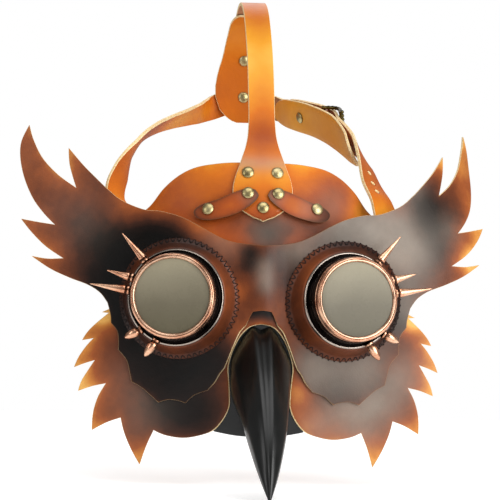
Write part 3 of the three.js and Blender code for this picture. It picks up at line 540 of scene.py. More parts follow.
RIVETS = {
    "rivet_brow_upper_left": (-9.5, 80.5),
    "rivet_brow_upper_right": (9.5, 80.5),
    "rivet_brow_inner_left": (-9.5, 66.2),
    "rivet_brow_inner_right": (9.5, 66.2),
    "rivet_brow_centre": (0, 57.5),
    "rivet_brow_outer_left": (-34.5, 55.2),
    "rivet_brow_outer_right": (34.5, 56.6),
}


# ---- Cut panels ----
def boundary_loops(triangles):
    """Ordered loops of the edges that only one triangle has, with the material on the left."""
    edges = {}
    for a, b, c in triangles:
        for edge in ((a, b), (b, c), (c, a)):
            edges[edge] = True
    onward = {a: b for a, b in edges if (b, a) not in edges}
    loops = []
    while onward:
        start = next(iter(onward))
        loop, here = [], start
        while here in onward:
            loop.append(here)
            here = onward.pop(here)
        loops.append(loop)
    return loops


def triangulate(loops, step):
    """Points and triangles filling the first loop outside the others, on a staggered grid."""
    low, high = loops[0].min(0), loops[0].max(0)
    rows = np.arange(low[1], high[1], step * 0.87)
    columns = np.arange(low[0], high[0], step)
    grid = np.array([[x + (step / 2 if r % 2 else 0), z] for r, z in enumerate(rows) for x in columns])
    grid = grid[inside(grid, loops[0])]
    for hole in loops[1:]:
        grid = grid[~inside(grid, hole)]
    for loop in loops:
        grid = grid[distance_to(grid, loop) > step * 0.45]
    points = [tuple(p) for loop in loops for p in loop] + [tuple(p) for p in grid]
    edges, base = [], 0
    for loop in loops:
        count = len(loop)
        edges += [(base + i, base + (i + 1) % count) for i in range(count)]
        base += count
    made = delaunay_2d_cdt([Vector(p) for p in points], edges, [], 0, 1e-5)
    flat = np.array([tuple(p) for p in made[0]])
    triangles = np.array(made[2])
    middle = flat[triangles].mean(1)
    kept = inside(middle, loops[0])
    for hole in loops[1:]:
        kept &= ~inside(middle, hole)
    triangles = triangles[kept]
    a, b, c = (flat[triangles[:, i]] for i in range(3))
    area = (b[:, 0] - a[:, 0]) * (c[:, 1] - a[:, 1]) - (b[:, 1] - a[:, 1]) * (c[:, 0] - a[:, 0])
    triangles[area < 0] = triangles[area < 0][:, ::-1]
    return flat, triangles


# A cut edge's section: share of the thickness, and how far it bulges. Its middle is the seam of two plies.
CUT_SECTION = ((0.1, 0.08), (0.42, 0.14), (0.5, 0.08), (0.58, 0.14), (0.9, 0.08))
HOLE_WEAR = 0.6                  # how much less a hole's edge is worn than the outline
NOTCH_FLARE = 3.5                # how much further the edges beside the nose notch bulge


def at_depth(flat, depth, layer):
    """Flat points (x, z) laid behind a surface."""
    return np.column_stack([flat[:, 0], depth(*flat.T) + layer, flat[:, 1]])


def cut_panel(name, loops, depth, layer, thick, look, materials, step=2.6, curl=False):
    """A leather panel behind a surface, with a rounded cut edge round its outline and its holes."""
    # look holds the dye, the grey patches of painted sheen, and the painted shade of the cut edges
    dye, painted_sheen, painted_edge_shade = look
    loops = [counter_clockwise(loops[0])] + [counter_clockwise(h)[::-1] for h in loops[1:]]
    flat, triangles = triangulate(loops, step)
    count = len(flat)
    points = [at_depth(flat, depth, layer), at_depth(flat, depth, layer + thick)]
    rim = distance_to(flat, loops[0])
    edge = rim
    for hole in loops[1:]:
        edge = np.minimum(edge, distance_to(flat, hole) + HOLE_WEAR)
    tone = dye(flat[:, 0], flat[:, 1], rim)
    edges, tones = [edge, edge], [tone, tone]
    faces = [tuple(t) for t in triangles] + [tuple(t[::-1] + count) for t in triangles]
    face_slots = [0] * len(triangles) + [2] * len(triangles)
    base = 2 * count
    for loop in boundary_loops(triangles):
        ring = flat[loop]
        ahead = np.roll(ring, -1, 0) - ring
        ahead /= np.maximum(np.linalg.norm(ahead, axis=1), 1e-9)[:, None]
        mean = ahead + np.roll(ahead, 1, 0)
        mean /= np.maximum(np.linalg.norm(mean, axis=1), 1e-6)[:, None]
        outward = np.column_stack([mean[:, 1], -mean[:, 0]])
        size = len(loop)
        rows = [np.array(loop)]
        flare = 1 + NOTCH_FLARE * smooth(36, 28, np.abs(ring[:, 0])) * smooth(-14, -22, ring[:, 1])
        for share, bulge in CUT_SECTION:
            at = ring + outward * (bulge * flare)[:, None]
            points.append(at_depth(at, depth, layer + thick * share))
            edges.append(np.zeros(size))
            tones.append(tone[loop])
            rows.append(base + np.arange(size))
            base += size
        rows.append(np.array(loop) + count)
        for front, back in zip(rows[:-1], rows[1:]):
            for i in range(size):
                j = (i + 1) % size
                faces.append((front[i], back[i], back[j], front[j]))
                face_slots.append(1)
    points = np.vstack(points)
    if curl:
        points = curl_right_wing(points)
    x, _, z = points.T
    attributes = {"edge": np.concatenate(edges), "dye": np.concatenate(tones), "painted_sheen": painted_sheen(x, z),
                  "painted_edge_shade": painted_edge_shade(x, z)}
    return make_piece(name, points, faces, materials, face_slots, attributes, 35)


def spots(places):
    """A function of x and z that adds up soft round spots (x, z, radius, strength)."""
    def value(x, z):
        total = np.zeros(len(x))
        for at_x, at_z, radius, strength in places:
            total += strength * np.exp(-((x - at_x) ** 2 + (z - at_z) ** 2) / (2 * radius ** 2))
        return total
    return value


POINTED = 0.3                    # cosine of the widest corner that counts as a tip


def tips(half, radius, left, right):
    """Spots on a half outline's pointed corners, with their strengths on the left and on the right."""
    ends = np.array([edge[-1] for edge in half], float)
    middle = ends.mean(axis=0)
    found = []
    for edge, following in zip(half[:-1], half[1:]):
        corner = np.array(edge[-1], float)
        back, on = unit(np.array(edge[-2]) - corner), unit(np.array(following[1]) - corner)
        if back @ on > POINTED and (back + on) @ (middle - corner) > 0:
            found += [(corner[0], corner[1], radius, right), (-corner[0], corner[1], radius, left)]
    return found


def stains(base, places):
    """A tone function: a base tone, spots (on the face panels a few of them are painted shade), and cut edges
    of another tone.
    """
    blots = spots(places)

    def tone(x, z, edge):
        return base["middle"] + base["rim"] * np.exp(-edge / base["fade"]) + blots(x, z)
    return tone


WING_DYE_AND_SHADE = stains({"middle": 0.42, "rim": 0.08, "fade": 3.0}, tips(WING_HALF, 9, 0.26, 0.46) + [
    (-72, 35, 10, -0.32), (-57, 30, 10, -0.3), (-92, 28, 12, -0.34), (-88, 12, 12, -0.2),
    (-95, -2, 14, -0.36), (-94, 54, 9, 0.16), (-55, -52, 26, -0.36), (-88, -30, 14, -0.24),
    (-30, -42, 12, -0.12), (-82, 60, 8, 0.16), (-66, 54, 7, 0.14), (-44, 45, 8, 0.26), (-26, 36, 8, 0.16),
    (-148, 82, 12, 0.22), (-128, 76, 9, 0.18),
    (-138, 52, 9, 0.12), (-134, 26, 9, 0.16), (-112, 66, 8, 0.12), (-106, 36, 11, -0.1), (-16, 4, 7, 0.26),
    # the spots at x -9, z 29 and z 21 are painted shade down the side of the nose bridge
    (15, -4, 8, 0.16), (-20, -22, 9, 0.16), (-9, 29, 3.6, -0.2), (-9, 21, 3.6, -0.18), (10, 26, 7, -0.1),
    (26, 12, 8, -0.14), (64, 40, 17, -0.16), (112, 60, 9, -0.26), (118, 36, 10, -0.2), (52, -52, 24, -0.12),
    (22, -22, 8, 0.12), (154, 88, 9, 0.36), (149, 68, 8, 0.26), (143, 28, 9, 0.26), (92, 61, 8, 0.1),
    (95, -16, 10, -0.16), (85, 10, 14, -0.1), (30, -44, 10, 0.06),
])
# Grey patches of painted sheen on the wing panel, mostly on its right half and down the nose bridge (x, z,
# radius, strength).
WING_PAINTED_SHEEN = spots([
    (52, 50, 14, 0.5), (82, 44, 16, 0.6), (98, 24, 14, 0.5), (128, 46, 9, 0.2), (24, 34, 10, 0.4),
    (1, 21, 4, 0.25), (1, 14, 4, 0.36), (2, 7, 4, 0.3), (98, -8, 10, 0.35), (36, -48, 14, 0.45),
    (68, -48, 15, 0.4), (-118, 48, 14, 0.1), (-26, 38, 9, 0.2), (100, 76, 7, 0.25),
])
# Painted shade on the wing panel's cut edges: dark along the brow and the lower edges, kept pale beside the
# nose notch (x, z, radius, strength).
WING_EDGE_SHADE = spots([
    (0, 50, 46, 1.0), (-62, -45, 30, 0.95), (62, -45, 30, 0.9), (-95, -10, 14, 0.6), (0, -6, 9, 0.6),
    (-24, -28, 9, -0.9), (24, -28, 9, -0.9),
])

CHEEK_DYE_AND_SHADE = stains({"middle": 0.42, "rim": 0.1, "fade": 3.0}, tips(CHEEK_HALF, 8, 0.33, 0.33) + [
    (-46, -74, 16, -0.3), (-26, -66, 9, 0.06), (-45, -92, 9, 0.1), (-96, -50, 12, 0.06), (-94, -80, 12, 0.1),
    (-76, -96, 9, 0.14), (-64, -66, 8, -0.16), (-110, -62, 9, 0.14), (25, -62, 7, 0.34), (30, -80, 9, 0.24),
    (50, -96, 12, 0.24), (96, -50, 12, 0.06), (96, -80, 13, 0.12), (78, -98, 10, 0.22), (84, -62, 12, -0.06),
    # the spots at x -5 and x 5, z -9 are painted shadow under the top edge of the nose notch
    (-5, -9, 4, -0.4), (5, -9, 4, -0.4), (0, -19, 6, 0.2),
])
# Grey patches of painted sheen on the cheek panel, mostly on its right half (x, z, radius, strength).
CHEEK_PAINTED_SHEEN = spots([
    (55, -72, 14, 0.42), (80, -64, 14, 0.4), (98, -48, 12, 0.25), (70, -86, 11, 0.25), (-82, -60, 15, 0.12),
    (-78, -84, 12, 0.1), (36, -86, 8, 0.2),
])
# Painted shade on the cheek panel's cut edges, strongest under the nose notch.
CHEEK_EDGE_SHADE = spots([(-112, -34, 10, 0.3), (0, -8, 7, 0.8)])

FOREHEAD_DYE = stains({"middle": 0.5, "rim": 0.08, "fade": 4.0}, [
    (-58, 58, 15, -0.04), (-30, 86, 12, 0.1), (5, 41, 9, -0.42), (-14, 46, 12, -0.12), (34, 42, 10, -0.2),
    (28, 86, 10, 0.16), (70, 52, 10, 0.26), (48, 66, 12, -0.14), (-15, 60, 12, -0.1), (20, 56, 12, -0.08),
])
# Grey patches of painted sheen on the forehead panel.
FOREHEAD_PAINTED_SHEEN = spots([(0, 42, 9, 0.22), (14, 50, 10, 0.1), (48, 60, 12, 0.22)])
# Painted shade on the forehead panel's cut edges.
FOREHEAD_EDGE_SHADE = spots([(0, 62, 60, 0.55)])

TAB_DYE = stains({"middle": 0.36, "rim": -0.16, "fade": 1.6}, [
    (-20, 60, 8, 0.08), (22, 60, 9, 0.16), (42, 53, 6, -0.12),
])
# Grey patches of painted sheen on the brow tabs.
TAB_PAINTED_SHEEN = spots([(30, 58, 6, 0.2), (8, 66, 5, 0.25), (-8, 66, 5, 0.2)])
# Painted shade on all the brow tabs' cut edges.
TAB_EDGE_SHADE = spots([(0, 60, 90, 1.0)])


def build_panels():
    eyes = [circle(EYE_HOLE, 90, side * (EYE_X + EYE_HOLE_SHIFT), EYE_Z) for side in (-1, 1)]
    wing_loop = spaced(symmetric(WING_HALF), 1.1)
    cheek_loop = spaced(symmetric(CHEEK_HALF), 1.1)
    forehead_loop = spaced(symmetric(FOREHEAD_HALF), 1.2)
    wing = cut_panel("wing_panel_leather", [wing_loop, *eyes], face_depth, 0, LEATHER,
                     (WING_DYE_AND_SHADE, WING_PAINTED_SHEEN, WING_EDGE_SHADE), [WING, CUT, FLESH], curl=True)
    declare(wing, "mask", "wing_leather", "wing_panel")
    cheek = cut_panel("cheek_panel_leather", [cheek_loop, *eyes], face_depth, CHEEK_LAYER, LEATHER,
                      (CHEEK_DYE_AND_SHADE, CHEEK_PAINTED_SHEEN, CHEEK_EDGE_SHADE), [CHEEK, CUT, FLESH], curl=True)
    declare(cheek, "mask", "cheek_leather", "cheek_panel")
    forehead = cut_panel("forehead_panel_leather", [forehead_loop], forehead_depth, 0, LEATHER,
                         (FOREHEAD_DYE, FOREHEAD_PAINTED_SHEEN, FOREHEAD_EDGE_SHADE), [FOREHEAD, CUT, FLESH], curl=True)
    declare(forehead, "mask", "forehead_leather", "forehead_panel")


# ---- Lathes ----
ON_AXIS = 1e-6                   # a smaller radius is a point on the axis


def bevelled(profile, radius, steps=4):
    """The closed profile with each corner cut to a small round."""
    profile = np.asarray(profile, float)
    corners, patina = profile[:, :2], profile[:, 2]
    rows = []
    count = len(corners)
    for i, here in enumerate(corners):
        before, after = corners[i - 1] - here, corners[(i + 1) % count] - here
        reach = min(radius, 0.45 * np.linalg.norm(before), 0.45 * np.linalg.norm(after))
        a, b = here + unit(before) * reach, here + unit(after) * reach
        if here[0] < ON_AXIS:
            rows.append((*here, patina[i]))
            continue
        for t in np.linspace(0, 1, steps):
            rows.append((*((1 - t) ** 2 * a + 2 * t * (1 - t) * here + t * t * b), patina[i]))
    return np.array(rows)


def lathe(profile, sides=96):
    """Points, faces and patina of a turned solid about +Z. Profile rows are radius, height and patina."""
    rows = np.asarray(profile, float)
    angle = round_angles(sides)
    points, patina, index = [], [], []
    for radius, height, dark in rows:
        if radius < ON_AXIS:
            index.append([len(points)] * sides)
            points.append((0, 0, height))
            patina.append(dark)
        else:
            index.append(list(range(len(points), len(points) + sides)))
            points += [(radius * math.cos(a), radius * math.sin(a), height) for a in angle]
            patina += [dark] * sides
    faces = []
    for low, high in zip(index, index[1:] + index[:1]):
        if low[0] == low[1] and high[0] == high[1]:
            continue
        for s in range(sides):
            e = (s + 1) % sides
            faces.append(tuple(dict.fromkeys((low[s], low[e], high[e], high[s]))))
    return np.array(points), faces, np.array(patina)


def placed(points, matrix):
    return points @ matrix[:3, :3].T + matrix[:3, 3]


def basis(at, across, upward, out):
    """A frame at a point from its three axes."""
    matrix = np.eye(4)
    matrix[:3, :3] = np.column_stack([across, upward, out])
    matrix[:3, 3] = at
    return matrix


def aimed(at, normal):
    """A frame at a point whose +Z is the normal."""
    turn = Vector((0, 0, 1)).rotation_difference(Vector(normal)).to_matrix()
    matrix = np.eye(4)
    matrix[:3, :3] = np.array(turn)
    matrix[:3, 3] = at
    return matrix


def turned(name, profile, matrix, material, sides=96):
    points, faces, patina = lathe(profile, sides)
    points = placed(points, matrix)
    return make_piece(name, points, faces, [material], attributes={"patina": patina}, angle=32)


# ---- Goggles ----
def eye_frame(side):
    splay, pitch = math.radians(side * EYE_SPLAY), math.radians(EYE_PITCH)
    axis = np.array([math.sin(splay) * math.cos(pitch), -math.cos(splay) * math.cos(pitch), math.sin(pitch)])
    across = np.array([math.cos(splay), math.sin(splay), 0])
    at = [side * EYE_X, FACE_CURVE * EYE_X ** 2, EYE_Z]
    return basis(at, across, np.cross(axis, across), axis)


def foot_height(matrix, x, y, clear):
    """Height along the goggle's axis at which (x, y) meets the face, clear of it by that much."""
    height = np.zeros(len(x))
    for _ in range(25):
        at = placed(np.column_stack([x, y, height]), matrix)
        height += at[:, 1] - (face_depth(at[:, 0], at[:, 2]) - clear)
    return height


UNWORN = 2.0                     # edge distance at which leather shows no wear


def build_cone(matrix, eye):
    """The sewn leather sleeve: it flares onto the panel, and its top is rolled inwards."""
    sides = 144
    angle = round_angles(sides)
    cos, sin = np.cos(angle), np.sin(angle)
    bore = CONE_TOP - LEATHER
    # Each row is a radius, a share of the way from the face up to the top, and a lift along the axis.
    profile = [(CONE_FOOT + 1.6, 0.0, -0.1), (CONE_FOOT + 1.5, 0.0, 0.75), (CONE_FOOT + 0.6, 0.0, 1.25)]
    profile += [(CONE_FOOT - 0.4 - 4.9 * t ** 0.75, t, 1.3 * (1 - t)) for t in np.linspace(0.06, 0.94, 12)]
    profile += [(CONE_TOP - 0.15, 1.0, -0.3), (CONE_TOP - 0.7, 1.0, 0.05), (CONE_TOP - 1.3, 1.0, -0.4)]
    profile += [(bore, 0.9, 0.0), (bore + 0.8, 0.5, 0), (CONE_FOOT - LEATHER, 0.0, 0.4)]
    rows = []
    for radius, share, lift in profile:
        foot = foot_height(matrix, radius * cos, radius * sin, GAP)
        height = foot + (CONE_HEIGHT - foot) * share + lift
        rows.append(np.column_stack([radius * cos, radius * sin, height]))
    points = np.vstack(rows)
    shares = np.repeat([share for _, share, _ in profile], sides)
    around = np.tile(angle, len(rows))
    inner = np.cos(around) * (1 if eye == "left" else -1)
    dye = 0.37 + 0.09 * inner + 0.07 * np.sin(3 * around + 0.6) + 0.1 * shares
    attributes = {"dye": dye, "edge": np.full(len(points), UNWORN)}
    cone = make_piece(f"eye_cone_leather_{eye}", placed(points, matrix), ring_faces(len(rows), sides, True),
                      [CONE], attributes=attributes, angle=60)
    declare(cone, "mask", "cone_leather", f"eye_cone_{eye}")
    build_stitches(matrix, eye)


def tube(path, radius, sides):
    """Points and faces of a round tube along a path, with flat ends."""
    path = np.asarray(path, float)
    count = len(path)
    normal = np.array([0.37, 0.21, 0.9])
    points = []
    for at, along, reach in zip(path, np.gradient(path, axis=0), np.broadcast_to(radius, (count,))):
        d = unit(along)
        normal = unit(normal - d * (normal @ d))
        other = np.cross(d, normal)
        points += [at + reach * (math.cos(a) * normal + math.sin(a) * other) for a in round_angles(sides)]
    return np.array(points), ring_faces(count, sides) + end_caps(count, sides)


def joined(parts):
    """Several (points, faces) as one."""
    points, faces, base = [], [], 0
    for some, their in parts:
        points.append(some)
        faces += [tuple(i + base for i in face) for face in their]
        base += len(some)
    return np.vstack(points), faces


THREAD_RADIUS = 0.36


def build_stitches(matrix, eye):
    """A zigzag of waxed thread round the foot of the sleeve."""
    stitches = 60
    inner, outer = CONE_FOOT - 1.0, CONE_FOOT + 2.1
    parts = []
    for i in range(stitches):
        ends = []
        for step, reach in ((0, inner), (0.5, outer), (1, inner)):
            ends.append((2 * math.pi * (i + step) / stitches, reach))
        for (a0, r0), (a1, r1) in zip(ends[:-1], ends[1:]):
            t = np.linspace(0, 1, 6)
            a, r = a0 + (a1 - a0) * t, r0 + (r1 - r0) * t
            x, y = r * np.cos(a), r * np.sin(a)
            hide = smooth(CONE_FOOT + 1.9, CONE_FOOT - 0.4, r) * 1.5
            h = foot_height(matrix, x, y, GAP) + hide + 0.35 * np.sin(math.pi * t) - 0.05
            parts.append(tube(np.column_stack([x, y, h]), THREAD_RADIUS, 6))
    points, faces = joined(parts)
    stitching = make_piece(f"cone_stitching_{eye}", placed(points, matrix), faces, [THREAD])
    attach(stitching, "mask")


def build_cup(matrix, eye):
    flange_low = CONE_HEIGHT + GAP
    flange_top = flange_low + CUP_FLANGE
    groove = CUP_RADIUS - 0.5
    # The flange's rim has patina below zero: rubbed metal, and a painted highlight along its edge.
    profile = [
        (CUP_BORE, 4, 0.4), (CUP_RADIUS - 0.4, 4, 0.4), (CUP_RADIUS - 0.4, flange_low, 0.4),
        (FLANGE_RADIUS, flange_low, 0.0), (FLANGE_RADIUS + 0.1, flange_low + 0.9, -0.6),
        (FLANGE_RADIUS - 0.7, flange_top, -0.6), (FLANGE_RADIUS - 1.6, flange_top - 0.35, 0.9),
        (CUP_RADIUS + 0.4, flange_top + 0.1, 0.9), (CUP_RADIUS, flange_top + 0.9, 0.6),
        (groove, flange_top + 1.3, 0.9), (groove, flange_top + 1.9, 0.9), (CUP_RADIUS, flange_top + 2.3, 0.1),
        (CUP_RADIUS, CUP_TOP - 0.9, 0.1), (CUP_RADIUS - 0.6, CUP_TOP, 0.2), (NECK_RADIUS, CUP_TOP, 0.9),
        (NECK_RADIUS, NECK_TOP, 0.4), (CUP_BORE, NECK_TOP, 0.4),
    ]
    cup = turned(f"cup_metal_{eye}", bevelled(profile, 0.3), matrix, DARK)
    declare(cup, "mask", "dark_metal", f"cup_{eye}")


def build_ring(matrix, eye):
    """The screwed copper ring: a groove round its side, and a turned line and a roll on its front; the roll
    is brightened, partly as rubbed metal and partly as a painted highlight.
    """
    lip = NECK_TOP + GASKET_THICK + LENS_THICK + 3 * GAP
    # Depths inwards of the ring's radius, heights above its bottom or below its top, and patina.
    side = [(0.3, 0, 0.3), (0, 0.6, 0.0), (0, 1.6, 0.0), (0.5, 1.9, 0.9), (0.5, 2.4, 0.9), (0, 2.7, 0.1)]
    front = [(0, 1.5, 0.1), (0.8, 0.35, 0.0), (1.3, 0.15, 0.3), (1.55, 0.5, 0.95), (1.8, 0.15, 0.2),
             (2.3, 0, -0.3)]
    profile = [(RING_BORE, RING_BOTTOM, 0.6)]
    profile += [(RING_RADIUS - deep, RING_BOTTOM + up, patina) for deep, up, patina in side]
    profile += [(RING_RADIUS - deep, RING_TOP - down, patina) for deep, down, patina in front]
    profile += [(RING_LIP + 0.7, RING_TOP - 0.2, -0.3), (RING_LIP, RING_TOP - 1.1, 0.0), (RING_LIP, lip, 0.8),
                (RING_BORE, lip, 0.8)]
    ring = turned(f"lens_ring_copper_{eye}", bevelled(profile, 0.28), matrix, COPPER, 128)
    declare(ring, f"ring_{eye}", "copper", f"lens_ring_{eye}")


def build_lens(matrix, eye):
    low = NECK_TOP + GASKET_THICK + 2 * GAP
    top = low + LENS_THICK
    bevel = 0.4
    side = [(0, low, 0), (LENS_RADIUS, low, 0), (LENS_RADIUS, top - bevel, 0), (LENS_RADIUS - bevel, top, 0)]
    front = [(LENS_RADIUS * share, top, 0) for share in (0.8, 0.5, 0.2, 0)]
    lens = turned(f"smoked_lens_{eye}", bevelled(side + front, 0.1, 3), matrix, GLASS)
    declare(lens, f"lens_{eye}", "smoked_glass", f"lens_{eye}")


# Each spike: its seats round the left and the right cup and the way it points, in degrees, its length, and if
# it is a bullet. The degrees are those of the left cup; the right cup mirrors them.
SPIKES = [
    ("upper", (131, 126), 132, 25, False),
    ("middle", (157, 154), 165, 18.5, False),
    ("side", (173, 171), 172, 27, False),
    ("lower", (226, 226), 208, 12.5, True),
    ("bottom", (249, 249), 236, 13.5, True),
]


def spike_profile(length, bullet):
    """A waisted collar, and above it a bullet's nose or a long cone."""
    collar = [(0, 0, 0.3), (3.0, 0, 0.5), (3.1, 0.35, 0.2), (3.1, 1.0, 0.0), (2.7, 1.35, 0.5),
              (2.35, 1.7, 0.95), (2.3, 2.3, 0.95)]
    if bullet:
        shoulder = [(2.6, 2.8, 0.3), (3.0, 3.8, 0.0), (3.15, 5.2, 0.0)]
        taper = [(3.05, 0.52), (2.7, 0.66), (1.9, 0.82), (0.8, 0.95), (0, 1)]
    else:
        shoulder = [(2.75, 2.7, 0.4), (2.95, 3.2, 0.0), (2.85, 3.9, 0.0)]
        taper = [(2.2, 0.34), (1.55, 0.55), (0.85, 0.78), (0.35, 0.95), (0, 1)]
    return np.array(collar + shoulder + [(radius, length * share, 0) for radius, share in taper])


def build_spikes(matrix, side, eye):
    for name, seats, point, length, bullet in SPIKES:
        seat = seats[0 if side < 0 else 1]
        round_cup, aim = (math.radians(a if side < 0 else 180 - a) for a in (seat, point))
        lift = CUP_RADIUS + SPIKE_LIFT
        at = placed(np.array([lift * math.cos(round_cup), lift * math.sin(round_cup), SPIKE_AXIAL]), matrix)
        way = matrix[:3, :3] @ [math.cos(aim), math.sin(aim), 0]
        profile = spike_profile(length, bullet)
        spike = turned(f"spike_copper_{eye}_{name}", profile, aimed(at, way), COPPER, 40)
        declare(spike, "mask", "copper", f"spike_{eye}_{name}")


def build_goggle(side, eye):
    matrix = eye_frame(side)
    build_cone(matrix, eye)
    build_cup(matrix, eye)
    build_ring(matrix, eye)
    build_lens(matrix, eye)
    build_spikes(matrix, side, eye)


# ---- Beak ----
BEAK_WALL = 2
BEAK_BACK = 3.9                  # its back rim is cut level here
SOLID_RINGS = 14                 # rings at the tip that have no hollow inside them
FLANGE_THICK = 1.5
BEAK = np.array([
    # y, z, half width, half height, tilt
    [4, -53, 19.6, 33.5, 0],
    [-9, -57.5, 18.4, 30, 6],
    [-22, -65, 16.6, 25.5, 11],
    [-35, -74, 14.8, 21, 16],
    [-48, -85, 12.7, 16.4, 21],
    [-59, -97, 9.6, 11.9, 25],
    [-68, -108.5, 6.2, 7.3, 27],
    [-74, -118, 2.9, 3.2, 27],
    [-77, -124, 0.6, 0.7, 27],
])


# What runs along the beak on each side: height as a share of its radius, angle from its ridge, and width.
BEAK_LINES = {
    "groove": (-0.055, 0, 0.085),
    "rail": (0.03, 0.24, 0.1),
    "dish": (-0.035, 0.75, 0.28),
    "facet": (0.03, 1.25, 0.16),
}


def beak_form(angle, share):
    """Radius factor round the beak. Its lines fade to half their height at the tip."""
    a = np.abs(np.where(angle > math.pi, angle - 2 * math.pi, angle))
    form = sum(height * np.exp(-((a - at) / width) ** 2) for height, at, width in BEAK_LINES.values())
    return 1 + (1 - share / 2) * form


def beak_ring(station, wall, share, sides):
    """One turn round the beak, a wall thickness inside its surface. The inner turns have no grooves."""
    y, z, half, tall, tilt = station
    half, tall = max(0.15, half - wall), max(0.2, tall - 1.4 * wall)
    angle = round_angles(sides)
    form = beak_form(angle, share) if wall == 0 else 1
    rise = tall * np.cos(angle) * form
    lean = math.radians(tilt)
    across = np.abs(np.sin(angle))
    arch = np.where(np.cos(angle) > 0, across ** (0.82 + 0.18 * share), across) * np.sign(np.sin(angle))
    return np.column_stack([half * arch * form, y - rise * math.sin(lean), z + rise * math.cos(lean)])


def build_beak():
    """A horn-shaped shell, hollow and open at the back, on a flange behind the cheeks."""
    sides = 96
    stations = spline(BEAK, 8)
    shares = np.linspace(0, 1, len(stations))
    outer = [beak_ring(s, 0, share, sides) for s, share in zip(stations, shares)]
    outer[0][:, 1] = np.maximum(outer[0][:, 1], BEAK_BACK)
    inner = [beak_ring(s, BEAK_WALL, share, sides) for s, share in zip(stations[:-SOLID_RINGS], shares)]
    rings = inner[::-1] + outer
    faces = ring_faces(len(rings), sides) + end_caps(len(rings), sides)
    beak = make_piece("beak_horn", np.vstack(rings), faces, [BLACK], angle=50)
    declare(beak, "mask", "beak_black", "beak_shell")

    mouth = beak_ring(BEAK[0], BEAK_WALL + 1, 0, 64)[:, [0, 2]]
    rim = spaced(symmetric(FLANGE_HALF), 1.5)
    plain = (stains({"middle": 0, "rim": 0, "fade": 1}, []), spots([]), spots([]))
    flange = cut_panel("beak_flange_plate", [rim, mouth], face_depth, FLANGE_LAYER, FLANGE_THICK, plain,
                       [BLACK, BLACK, BLACK], 4)
    declare(flange, "mask", "beak_black", "beak_flange")


# ---- Strap routes ----
HEAD_END = [[49.5, 0.8], [52, 7], [56, 13.5], [60, 17], [66, 19.5], [72, 19.6], [78, 18.2], [84, 16],
            [90, 14], [98, 11.3], [106, 9.6]]
HEAD_RISE = [[32.5, 118], [39, 134], [50, 154], [66, 173], [92, 194], [122, 204], [152, 202], [175, 190],
             [187, 172], [189.5, 158], [190, 143], [190, 124]]
HEAD_STRAP_STATIONS = len(HEAD_END) + 9     # the head strap ends before the rear patch does


class Route:
    """A strap's way: points it passes, the direction of its width at each, and its half width there."""

    def __init__(self, stations):
        self.at = np.array([s[0] for s in stations], float)
        self.wide = np.array([unit(s[1]) for s in stations])
        self.half = np.array([s[2] for s in stations], float)
        self.last = len(stations) - 1

    def point(self, t):
        """The point at t on a centripetal Catmull-Rom curve through the stations."""
        place = min(max(t, -0.01), 1.01) * self.last
        index = min(max(int(math.floor(place)), 0), self.last - 1)
        weight = place - index
        p1, p2 = self.at[index], self.at[index + 1]
        p0 = self.at[index - 1] if index > 0 else 2 * p1 - p2
        p3 = self.at[index + 2] if index + 2 <= self.last else 2 * p2 - p1
        d0, d1, d2 = (np.linalg.norm(b - a) ** 0.5 for a, b in ((p0, p1), (p1, p2), (p2, p3)))
        t1 = ((p1 - p0) / d0 - (p2 - p0) / (d0 + d1) + (p2 - p1) / d1) * d1
        t2 = ((p2 - p1) / d1 - (p3 - p1) / (d1 + d2) + (p3 - p2) / d2) * d1
        return hermite(p1, p2, t1, t2, weight)

    def frame(self, t):
        """The point at t, the strap's width, length and outward directions there, and its half width."""
        along = unit(self.point(t + 1e-4) - self.point(t - 1e-4))
        place = min(max(t, 0), 1) * self.last
        index = min(int(place), self.last - 1)
        mix = place - index
        wide = self.wide[index] * (1 - mix) + self.wide[index + 1] * mix
        wide = unit(wide - along * (wide @ along))
        half = self.half[index] * (1 - mix) + self.half[index + 1] * mix
        return self.point(t), wide, along, np.cross(along, wide), half


def head_route(width=(1, 0, 0)):
    lift = STRAP_LEATHER / 2 + GAP
    lying = [((0, float(plain_forehead(0, z)) - lift, z), width, half) for z, half in HEAD_END]
    rising = [((0, y, z), width, STRAP_HALF) for y, z in HEAD_RISE]
    return Route(lying + rising)


def temple_station(x, z):
    slope = 2 * FACE_CURVE * x
    back = (LEATHER + GAP + STRAP_LEATHER / 2) * math.hypot(1, slope) + 1.2
    lean = BROW_LEAN * max(0, z - BROW_Z) ** 2
    return ((x, FACE_CURVE * x * x + lean + back, z), (-1, -slope, 0), STRAP_HALF)


def side_route(temple_x, stations):
    ends = [temple_station(temple_x, TEMPLE_Z - 10), temple_station(temple_x, TEMPLE_Z + 4)]
    return Route(ends + [(at, wide, STRAP_HALF) for at, wide in stations])


